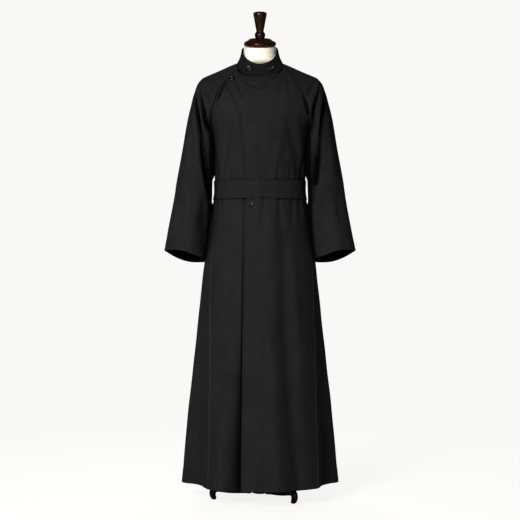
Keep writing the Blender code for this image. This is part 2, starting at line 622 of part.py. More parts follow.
def seat(tree, points, x, z):
    """Where a button's back goes on a piece, seen from the front, and the way it faces."""
    hit, normal, _, _ = tree.ray_cast(Vector((x, -1.0, z)), Vector((0, 1, 0)))
    n = np.array(normal) * (1 if normal[1] < 0 else -1)
    hit = np.array(hit)
    near = points[np.linalg.norm(points - hit, axis=1) < BUTTON_R * 1.1]
    proud = max([0.0] + [float((p - hit) @ n) for p in near])
    return hit + n * (proud + GAP), n


def lofted(rings, segments, tilt_from=None):
    """Level rounded rings joined into one closed body."""
    points, faces = [], []
    for ring in rings:
        for k in range(segments):
            a = 2 * math.pi * k / segments
            c, s = math.cos(a), math.sin(a)
            y = -s * (ring.front if s > 0 else ring.back)
            z = ring.z
            if tilt_from is not None:
                share = float(ramp(tilt_from, rings[-1].z, ring.z))
                z += y * math.tan(CAP_TILT) * share
            points.append((ring.side * c, y, z))
    for i in range(len(rings) - 1):
        for k in range(segments):
            n = (k + 1) % segments
            a, b = i * segments, (i + 1) * segments
            faces.append((a + k, b + k, b + n, a + n))
    faces.append(tuple(range(segments)))
    faces.append(tuple(range((len(rings) - 1) * segments, len(rings) * segments))[::-1])
    return points, faces


def swept(path, sizes, way):
    """A rounded bar along a path of (reach, height) places, in the upright plane along way."""
    way = np.array([way[0], way[1], 0.0])
    across = np.array([-way[1], way[0], 0.0])
    points, faces = [], []
    corners = 8
    for i, (r, z) in enumerate(path):
        a, b = path[max(i - 1, 0)], path[min(i + 1, len(path) - 1)]
        run = np.array([b[0] - a[0], b[1] - a[1]])
        run /= np.linalg.norm(run)
        up = np.array([-run[1], run[0]])
        wide, tall = sizes[i]
        for k in range(corners):
            t = 2 * math.pi * (k + 0.5) / corners
            side, rise = wide / 2 * math.cos(t) / 0.924, tall / 2 * math.sin(t) / 0.924
            points.append(way * (r + up[0] * rise) + across * side + np.array([0, 0, z + up[1] * rise]))
    for i in range(len(path) - 1):
        for k in range(corners):
            n = (k + 1) % corners
            a, b = i * corners, (i + 1) * corners
            faces.append((a + k, a + n, b + n, b + k))
    faces.append(tuple(range(corners))[::-1])
    faces.append(tuple(range((len(path) - 1) * corners, len(path) * corners)))
    return points, faces


def clear_scene():
    for ob in list(bpy.data.objects):
        bpy.data.objects.remove(ob, do_unlink=True)


def build_garment():
    cloth = build_cloth()
    points = cloth.arrays()
    normals = cloth.normals(points)
    in_sleeve = np.zeros(len(points), bool)
    in_collar = np.zeros(len(points), bool)
    for f, m in zip(cloth.faces, cloth.marks):
        if "sleeve" in m[0]:
            in_sleeve[list(f)] = True
        if "collar" in m[0]:
            in_collar[list(f)] = True
    body = ~in_sleeve & ~in_collar
    in_body = np.zeros(len(points), bool)
    for f, m in zip(cloth.faces, cloth.marks):
        if "sleeve" not in m[0]:
            in_body[list(f)] = True
    free = in_sleeve & ~in_body
    straight = points.copy()
    points[body] = folded(points[body], normals[body], FOLDS + [UNDER_VALLEY])
    straight[body] = folded(straight[body], normals[body], FOLDS)
    points[free] = folded(points[free], normals[free], SLEEVE_FOLDS)
    straight[free] = points[free]
    normals = cloth.normals(points)
    cloth.mitre = mitres(cloth, points, normals)

    # The wrapping front lies out over the lower one and comes back in before its own seams.
    lift = np.zeros(len(points))
    for f, m in zip(cloth.faces, cloth.marks):
        if "front_left" in m:
            for i in f:
                p = points[i]
                inner = max(p[0] - UNDER_EDGE, 0.0)
                rise = float(ramp(0.0, 0.05, inner)) if p[0] > UNDER_EDGE else 0.0
                lift[i] = max(lift[i], LIFT * (1 - rise))
    belt_lift = np.full(len(points), GAP + STIFF)
    for i, p in enumerate(points):
        if BELT_LOW - 0.001 < p[2] < BELT_TOP + 0.001 and p[1] < 0:
            near = ramp(-0.085, -0.060, p[0]) * (1 - ramp(UNDER_EDGE, UNDER_EDGE + 0.06, p[0]))
            belt_lift[i] += LIFT * float(near)

    names = {
        "front_left": "front_overlap", "front_right": "front_underlap", "back": "back_panel",
        "gore_left": "side_gore_left", "gore_right": "side_gore_right",
        "sleeve_left": "sleeve_left", "sleeve_right": "sleeve_right", "collar": "collar",
    }
    shells = {}
    slit = [cloth.add(p) for p in cloth.slit]
    for name, title in names.items():
        black = material(title + "_twill", (0.013, 0.013, 0.014), 0.78, sheen=0.25)
        thick = STIFF if name == "collar" else CLOTH
        cut = slit if name == "collar" else ()
        if name == "front_left":
            shell, faces, count = cut_piece(cloth, straight, cloth.normals(straight), name, thick, lift)
        else:
            shell, faces, count = cut_piece(cloth, points, normals, name, thick, None, cut)
        solid_object(title, shell, faces, black, turn_out=False)
        shells[name] = (shell, faces, count)

    # The cincture goes round over every layer at the waist.
    marks = cloth.marks
    reach = (BELT_LOW - 0.004, BELT_TOP + 0.004)
    cloth.marks = [
        ("belt",) if all(reach[0] < points[i][2] < reach[1] and not in_sleeve[i] for i in f) else ("",)
        for f in cloth.faces
    ]
    shell, faces, _ = cut_piece(cloth, points, normals, "belt", STIFF, belt_lift)
    cloth.marks = marks
    twill = material("cincture_twill", (0.012, 0.012, 0.013), 0.62, sheen=0.2)
    solid_object("cincture", shell, faces, twill, turn_out=False)
    return shells


def build_buttons(shells):
    places = {
        "button_collar_right": ("collar", -0.0367, 1.4920),
        "button_collar_left": ("collar", 0.0377, 1.4925),
        "button_shoulder": ("front_left", -0.0967, 1.4540),
        "button_waist": ("front_left", -0.0327, 1.0214),
    }
    for name, (piece, x, z) in places.items():
        shell, faces, count = shells[piece]
        tree = BVHTree.FromPolygons([Vector(p) for p in shell], faces)
        centre, axis = seat(tree, shell, x, z)
        points, sides = turned(button_profile(), 20, centre, axis)
        solid_object(name, points, sides, material(name + "_black", (0.01, 0.01, 0.01), 0.18, coat=0.4))


def build_form():
    points, faces = lofted(FORM, 36, tilt_from=1.53)
    solid_object("form_torso", points, faces, material("form_jersey", (0.93, 0.90, 0.83), 0.85))
    wood = (0.035, 0.018, 0.012)
    axis = (0, -math.sin(CAP_TILT), math.cos(CAP_TILT))
    foot = np.array([0, 0, NECK_PIVOT_Z]) + np.array(axis) * GAP
    cap = [
        (0.0, 0.0530), (0.002, 0.0556), (0.0125, 0.0556), (0.0165, 0.0530), (0.0185, 0.0440),
        (0.0205, 0.0350), (0.0260, 0.0330), (0.0285, 0.0290), (0.0300, 0.0200),
    ]
    points, faces = turned(cap, 32, foot, axis)
    solid_object("neck_cap", points, faces, material("neck_cap_wood", wood, 0.32, coat=0.3))
    knob = [
        (0.0, 0.0140), (0.003, 0.0168), (0.010, 0.0178), (0.018, 0.0165), (0.025, 0.0125),
        (0.029, 0.0112), (0.033, 0.0120), (0.052, 0.0165), (0.072, 0.0205), (0.082, 0.0225),
        (0.0875, 0.0215), (0.0905, 0.0165),
    ]
    tip = foot + np.array(axis) * (cap[-1][0] + GAP)
    points, faces = turned(knob, 24, tip, axis)
    solid_object("finial", points, faces, material("finial_wood", wood, 0.30, coat=0.3))

    hub_top, hub_low, hub_r = 0.150, 0.015, 0.034
    pole = [(0.0, 0.0125), (FORM[0].z - GAP - hub_top - GAP, 0.0125)]
    points, faces = turned(pole, 20, (0, 0, hub_top + GAP), (0, 0, 1))
    solid_object("pole", points, faces, material("pole_wood", wood, 0.4))
    hub = [
        (hub_low, 0.026), (hub_low + 0.006, hub_r), (0.066, hub_r), (0.084, hub_r), (0.091, 0.026),
        (0.112, 0.022), (0.124, 0.029), (0.136, 0.029), (0.143, 0.021), (hub_top, 0.018),
    ]
    points, faces = turned(hub, 24, (0, 0, 0), (0, 0, 1))
    solid_object("tripod_hub", points, faces, material("tripod_hub_wood", wood, 0.35))
    start = hub_r + GAP
    path = [
        (start, 0.040), (0.052, 0.040), (0.080, 0.038), (0.108, 0.037), (0.134, 0.0385),
        (0.154, 0.0385), (0.1655, 0.0325), (0.1695, 0.021), (0.1675, 0.0105), (0.163, 0.0035), (0.155, 0.0),
    ]
    sizes = [
        (0.020, 0.052), (0.020, 0.048), (0.020, 0.042), (0.019, 0.036), (0.019, 0.031),
        (0.020, 0.027), (0.021, 0.023), (0.021, 0.019), (0.020, 0.016), (0.019, 0.014), (0.016, 0.012),
    ]
    for i, angle in enumerate(FOOT_ANGLES):
        a = math.radians(angle)
        points, faces = swept(path, sizes, (math.cos(a), math.sin(a)))
        points = [np.array([p[0], p[1], max(p[2], 0.0)]) for p in points]
        name = f"leg_{i + 1}"
        solid_object(name, points, faces, material(name + "_wood", wood, 0.35))


def main():
    clear_scene()
    shells = build_garment()
    build_buttons(shells)
    build_form()


main()
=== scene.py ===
"""Looks of the double-breasted cassock on its dress form: cloth, sewing, buttons, wood and light.

Metres, +Z up, floor at z = 0, the garment's front faces -Y and the wearer's left is +X.
Each cloth piece is a fine closed shell on the form of the solid that it replaces: the same
sections, seams and sleeve rings, with the smaller creases, hems and seams pressed into it.
"""

import json
import math
from collections import namedtuple

import bpy
import numpy as np
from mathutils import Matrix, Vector
from mathutils.bvhtree import BVHTree
from mathutils.kdtree import KDTree

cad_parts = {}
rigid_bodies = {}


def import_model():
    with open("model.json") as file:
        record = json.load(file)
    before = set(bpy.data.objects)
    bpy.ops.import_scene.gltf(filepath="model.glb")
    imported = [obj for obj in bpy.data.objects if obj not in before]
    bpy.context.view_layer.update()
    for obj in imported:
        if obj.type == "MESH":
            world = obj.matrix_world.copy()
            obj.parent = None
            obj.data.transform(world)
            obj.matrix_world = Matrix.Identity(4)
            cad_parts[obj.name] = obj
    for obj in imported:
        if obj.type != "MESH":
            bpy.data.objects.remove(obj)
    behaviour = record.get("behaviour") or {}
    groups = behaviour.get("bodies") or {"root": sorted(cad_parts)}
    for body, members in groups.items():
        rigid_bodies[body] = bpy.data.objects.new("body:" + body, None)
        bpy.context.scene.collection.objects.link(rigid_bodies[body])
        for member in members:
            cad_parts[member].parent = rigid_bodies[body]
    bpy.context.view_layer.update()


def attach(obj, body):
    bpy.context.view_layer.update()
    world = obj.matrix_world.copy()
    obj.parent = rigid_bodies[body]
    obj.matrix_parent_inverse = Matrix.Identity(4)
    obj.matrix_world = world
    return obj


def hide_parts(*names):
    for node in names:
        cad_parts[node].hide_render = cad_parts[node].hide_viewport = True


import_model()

# ---------------------------------------------------------------- driving sizes
CLOTH = 0.0015  # thickness of the wool twill
STIFF = 0.0022  # thickness of the collar and the cincture
GAP = 0.0003  # between two pieces that are sewn or laid together
LIFT = CLOTH + GAP  # the front that wraps over lies this far out
SEAM_STEP = 1.5 * GAP  # how far the rims of sewn pieces step under one another
HEM_Z = 0.0565
ARM_Z = 1.285  # bottom of the armhole
BELT_LOW, BELT_TOP = 1.041, 1.105
SEAM_ANGLE = math.radians(77)  # where the front seam meets the armhole, round from the centre
COLLAR_TOP = (1.507, 1.563, 1.588)  # height of its upper edge at front, side and back
COLLAR_HALF, COLLAR_FRONT, COLLAR_BACK = 0.0640, 0.064, 0.062
BUTTON_R, BUTTON_H = 0.0102, 0.0045
CAP_TILT, NECK_PIVOT_Z = math.radians(13), 1.5755  # the neck of the form leans forward from here
FOOT_ANGLES = (-46, 74, 194)
HEM_DEEP, CUFF_DEEP = 0.042, 0.033  # how far the turned-up hem and cuff reach
EDGE_STITCH, BELT_STITCH = 0.006, 0.005  # rows of stitches in from the edges
STITCH, STITCH_STEP, THREAD = 0.0027, 0.0036, 0.00035  # a stitch's length, the next one, its radius

# Cells of the cloth's mesh between the seams.
LEFT_COLS, LAP_COLS, RIGHT_COLS = 26, 22, 40
GORE_COLS, BACK_COLS, NECK_COLS = 60, 76, 18
CELL, SLEEVE_CELL = 0.0058, 0.0048  # height of a row of the skirt and bodice, and of a sleeve
PANEL_ROWS, REAR_ROWS = 88, 82  # of the front and the back above the armhole

# ---------------------------------------------------------------- tables
# The body's sections, from the hem up. side, front and back are distances from the axis.
# seam is where the side-front seam lies. pull draws it in, and flat straightens the gore.
Section = namedtuple("Section", "z side front back seam_right seam_left pull flat")
BODY = [Section(*row) for row in (
    (0.0565, 0.2730, 0.228, 0.226, 0.173, 0.199, 0.08, 1.0),
    (0.25, 0.2560, 0.205, 0.203, 0.172, 0.195, 0.07, 0.9),
    (0.45, 0.2350, 0.184, 0.181, 0.172, 0.191, 0.05, 0.7),
    (0.60, 0.2184, 0.168, 0.165, 0.172, 0.187, 0.03, 0.45),
    (0.81, 0.1955, 0.148, 0.143, 0.172, 0.181, 0.0, 0.15),
    (0.90, 0.1810, 0.137, 0.131, 0.161, 0.165, 0.0, 0.0),
    (1.012, 0.1660, 0.127, 0.119, 0.149, 0.149, 0.0, 0.0),
    (1.073, 0.1575, 0.121, 0.112, 0.142, 0.142, 0.0, 0.0),
    (1.117, 0.1575, 0.122, 0.112, 0.143, 0.143, 0.0, 0.0),
    (1.20, 0.1635, 0.130, 0.115, 0.153, 0.153, 0.0, 0.0),
    (ARM_Z, 0.1750, 0.136, 0.117, 0.1705, 0.1705, 0.0, 0.0),
)]

# Raglan seams from the armhole up to the collar, and the panel's depth and height at centre.
Seam = namedtuple("Seam", "t x y z deep high")
RAGLAN_FRONT = [Seam(*row) for row in (
    (0.00, 0.1705, 0.0306, ARM_Z, 0.1360, ARM_Z),
    (0.17, 0.1700, 0.062, 1.306, 0.1368, 1.312),
    (0.34, 0.1660, 0.083, 1.337, 0.1345, 1.342),
    (0.52, 0.1570, 0.092, 1.374, 0.1275, 1.375),
    (0.68, 0.1425, 0.088, 1.411, 0.1165, 1.405),
    (0.80, 0.1270, 0.077, 1.437, 0.1025, 1.430),
    (0.87, 0.1140, 0.068, 1.453, 0.0900, 1.447),
    (0.93, 0.1020, 0.058, 1.468, 0.0745, 1.4625),
    (1.00, 0.0775, 0.037, 1.496, 0.0720, 1.4638),
)]
RAGLAN_BACK = [Seam(*row) for row in (
    (0.00, 0.1705, 0.0263, ARM_Z, 0.117, ARM_Z),
    (0.17, 0.1695, 0.055, 1.307, 0.119, 1.325),
    (0.34, 0.1650, 0.077, 1.342, 0.120, 1.365),
    (0.52, 0.1540, 0.087, 1.385, 0.118, 1.408),
    (0.68, 0.1370, 0.085, 1.424, 0.111, 1.448),
    (0.82, 0.1145, 0.075, 1.462, 0.098, 1.485),
    (0.92, 0.0910, 0.059, 1.493, 0.082, 1.512),
    (1.00, 0.0670, 0.039, 1.5225, 0.064, 1.534),
)]
NECK_SIDE = (0.0800, 0.0, 1.5175)  # the collar's foot at the shoulder

# Edge of the overlapping front, from its corner down to the hem.
Edge = namedtuple("Edge", "z x")
LAP_EDGE = [Edge(*row) for row in (
    (1.4389, -0.1170), (1.3994, -0.0991), (1.3669, -0.0831), (1.3128, -0.0653),
    (1.2550, -0.0605), (1.1871, -0.0545), (1.1096, -0.0500), (1.0244, -0.0525),
    (0.7624, -0.0554), (0.3610, -0.0600), (0.0565, -0.0625),
)]
UNDER_EDGE = 0.034  # the lower front ends this far past the centre, out of sight

# Sleeve rings from the raglan seam to the cuff. out and inn are the top and under lines.
Ring = namedtuple("Ring", "out_x out_z inn_x inn_z front back lead")
SLEEVE = [Ring(*row) for row in (
    (0.0800, 1.5175, 0.1735, 1.285, 0.092, 0.088, 0.0),
    (0.1105, 1.5048, 0.1755, 1.282, 0.092, 0.087, 0.0),
    (0.1358, 1.4937, 0.1772, 1.278, 0.092, 0.086, 0.0),
    (0.1600, 1.4838, 0.1785, 1.273, 0.091, 0.085, 0.0),
    (0.1838, 1.4738, 0.1795, 1.267, 0.089, 0.084, 0.0),
    (0.2050, 1.4625, 0.1800, 1.260, 0.086, 0.082, 0.0),
    (0.2185, 1.4450, 0.1797, 1.251, 0.083, 0.080, 0.0),
    (0.2275, 1.4200, 0.1785, 1.240, 0.080, 0.078, 0.0),
    (0.2365, 1.3860, 0.1765, 1.222, 0.077, 0.076, 0.0),
    (0.2475, 1.3400, 0.1735, 1.193, 0.074, 0.074, 0.001),
    (0.2585, 1.2850, 0.1705, 1.152, 0.071, 0.072, 0.002),
    (0.2729, 1.2010, 0.1675, 1.092, 0.068, 0.070, 0.003),
    (0.2876, 1.1170, 0.1680, 1.040, 0.066, 0.068, 0.004),
    (0.3024, 1.0330, 0.1735, 0.978, 0.064, 0.066, 0.005),
    (0.3175, 0.9490, 0.1835, 0.902, 0.062, 0.064, 0.010),
    (0.3340, 0.8630, 0.1945, 0.826, 0.060, 0.062, 0.017),
)]

Fold = namedtuple("Fold", "face a0 z0 a1 z1 a2 z2 d0 d1 d2 w0 w1 w2")


def fold_table(**rows):
    """Folds from rows in millimetres, listed by the side they face.

    A fold runs through three places (a0, z0), (a1, z1) and (a2, z2). a is x on the front and the
    back, and y on the sides. d is how far out of the surface it stands there, w how wide it is.
    """
    return [Fold(face, *(v / 1000 for v in row)) for face in rows for row in rows[face]]


# The largest folds.
FOLDS = fold_table(
    front=[
        (-120, 600, -128, 330, -134, 40, 0, 7, 22, 30, 32, 34),
        (34, 930, 42, 420, 64, 40, 3, 9, 15, 26, 30, 36),
        (80, 950, 100, 480, 136, 40, -4, -10, -12, 20, 25, 28),
        (112, 900, 122, 680, 134, 450, 2, 3, 0, 18, 20, 20),
    ],
    back=[
        (-105, 980, -118, 500, -135, 40, -3, -10, -18, 22, 28, 32),
        (-58, 980, -66, 500, -78, 40, 3, 10, 20, 22, 26, 32),
        (-6, 980, -10, 500, -14, 40, -4, -12, -24, 22, 26, 30),
        (52, 980, 58, 460, 66, 40, 3, 9, 18, 22, 26, 32),
        (104, 980, 114, 560, 126, 40, -3, -8, -20, 20, 26, 30),
    ],
    right=[
        (-40, 800, -62, 420, -85, 40, 0, -6, -10, 24, 28, 32),
        (45, 800, 60, 420, 80, 40, 0, -5, -12, 24, 28, 32),
    ],
    left=[
        (-42, 800, -60, 420, -88, 40, 0, -6, -9, 24, 28, 32),
        (40, 800, 62, 420, 78, 40, 0, -6, -13, 24, 28, 32),
    ],
)
# The lower front falls back behind the edge of the one that wraps over it.
UNDER_VALLEY = fold_table(front=[(-58, 680, -63, 340, -65, 40, 0, -21, -44, 22, 28, 34)])
# Folds of the empty sleeves, falling from the shoulder to the under side.
SLEEVE_FOLDS = fold_table(
    front=[
        (-208, 1420, -195, 1335, -160, 1258, -3, -21, -18, 4.5, 7.8, 8),
        (-230, 1436, -207.5, 1245, -164, 1045, -6, -30, -26, 3.5, 8.5, 9),
        (210, 1434, 187, 1350, 157, 1272, -3, -21, -18, 4.5, 7.8, 8),
        (232, 1440, 216.5, 1275, 186, 1100, -6, -30, -18, 4.5, 10, 11),
    ],
    back=[
        (-208, 1430, -190, 1340, -170, 1280, -4, -15, -10, 6, 9, 11),
        (-224, 1400, -204, 1220, -176, 1080, -4, -22, -14, 7, 11, 13),
        (210, 1425, 192, 1345, 170, 1285, -4, -14, -10, 6, 9, 11),
        (222, 1405, 202, 1240, 176, 1070, -4, -21, -14, 7, 11, 13),
    ],
)
# Painted shade only: the dark bands where the sleeves turn in against the body.
SLEEVE_SHADOWS = fold_table(
    front=[
        (-169, 1290, -169, 1200, -169, 1100, -12, -20, -18, 6, 8, 9),
        (-173, 1040, -177, 935, -184, 835, -18, -18, -10, 9, 9, 6),
        (164, 1290, 167.5, 1200, 168, 1080, -12, -20, -18, 7, 10, 10),
        (208, 1454, 220, 1425, 230, 1391, -10, -14, -6, 3, 4.5, 3),
        (173, 1040, 176.5, 935, 187, 835, -18, -18, -10, 8, 8, 6),
    ],
)


# The form inside, as level rings: half width, depth to front and to back.
FormRing = namedtuple("FormRing", "z side front back")
FORM = [FormRing(*row) for row in (
    (0.800, 0.146, 0.104, 0.100), (0.812, 0.154, 0.110, 0.106),
    (0.900, 0.156, 0.112, 0.106), (0.980, 0.146, 0.107, 0.100),
    (1.073, 0.136, 0.101, 0.092), (1.170, 0.142, 0.107, 0.096),
    (1.260, 0.150, 0.114, 0.099), (1.330, 0.156, 0.113, 0.100),
    (1.390, 0.168, 0.098, 0.096), (1.425, 0.178, 0.078, 0.082),
    (1.448, 0.183, 0.060, 0.064), (1.464, 0.182, 0.046, 0.050),
    (1.4748, 0.1715, 0.036, 0.040), (1.4848, 0.1492, 0.034, 0.040),
    (1.4948, 0.1225, 0.032, 0.041), (1.5050, 0.0880, 0.030, 0.042),
    (1.518, 0.070, 0.050, 0.052), (1.535, 0.060, 0.057, 0.055),
    (1.555, 0.057, 0.057, 0.055), (1.5755, 0.0565, 0.057, 0.055),
)]

# The upper corner of the wrapping front: its edge at each height.
FLAP_CORNER = [(1.4389, -0.1170), (1.4680, -0.1096), (1.4708, -0.1096)]
FLAP_TOP = 0.93  # how far up the front's rows the wrapping piece goes
LAP_WIDE = 0.095  # how far the two fronts overlap
LAP_LEAST, LAP_DRAWN = -0.78, 0.10  # the overlap's columns keep this far from the seam higher up
EVEN_FROM = (0.80, 0.90)  # above the wrapping piece the columns are evenly spaced

# A leg's middle line, outwards and up from the hub, with its width and height there.
LEG = [
    (0.0343, 0.0400, 0.020, 0.052), (0.0520, 0.0400, 0.020, 0.048), (0.0800, 0.0380, 0.020, 0.042),
    (0.1080, 0.0370, 0.019, 0.036), (0.1340, 0.0385, 0.019, 0.031), (0.1540, 0.0385, 0.020, 0.027),
    (0.1655, 0.0325, 0.021, 0.024), (0.1695, 0.0220, 0.021, 0.022), (0.1682, 0.0125, 0.020, 0.020),
    (0.1642, 0.0060, 0.018, 0.017), (0.1600, 0.0020, 0.014, 0.011),
]

# Each button's cloth and place.
BUTTONS = {
    "button_collar_right": ("collar", -0.0367, 1.4920),
    "button_collar_left": ("collar", 0.0377, 1.4925),
    "button_shoulder": ("front_overlap", -0.0967, 1.4540),
    "button_waist": ("front_overlap", -0.0327, 1.0214),
}

# The two sleeves.
SLEEVES = ("sleeve_left", "sleeve_right")

# The pieces along the hem, from seam to seam.
HEM_PARTS = (
    (0, 1, "back_panel"), (1, 2, "side_gore_right"), (2, 3, "front_underlap"),
    (3, 5, "front_overlap"), (5, 6, "side_gore_left"), (6, 7, "back_panel"),
)

# The rows of the cincture, from its lower edge to its upper one.
BELT_ROWS = (
    0, 0.012, 0.035, 0.06, 0.075, 0.09, 0.13, 0.2, 0.3, 0.4, 0.5,
    0.6, 0.7, 0.8, 0.87, 0.91, 0.925, 0.94, 0.965, 0.988, 1,
)

# The slow waviness of the worn wool: how fast it runs along x, y and z, its size and start.
WAVES = [
    (23.0, 17.0, 9.0, 0.00055, 0.4), (-31.0, 22.0, 14.0, 0.00040, 2.1), (12.0, -35.0, 21.0, 0.00040, 4.0),
    (47.0, 39.0, -17.0, 0.00022, 1.2), (-58.0, 33.0, 31.0, 0.00018, 5.2), (9.0, 8.0, 41.0, 0.00025, 3.3),
]

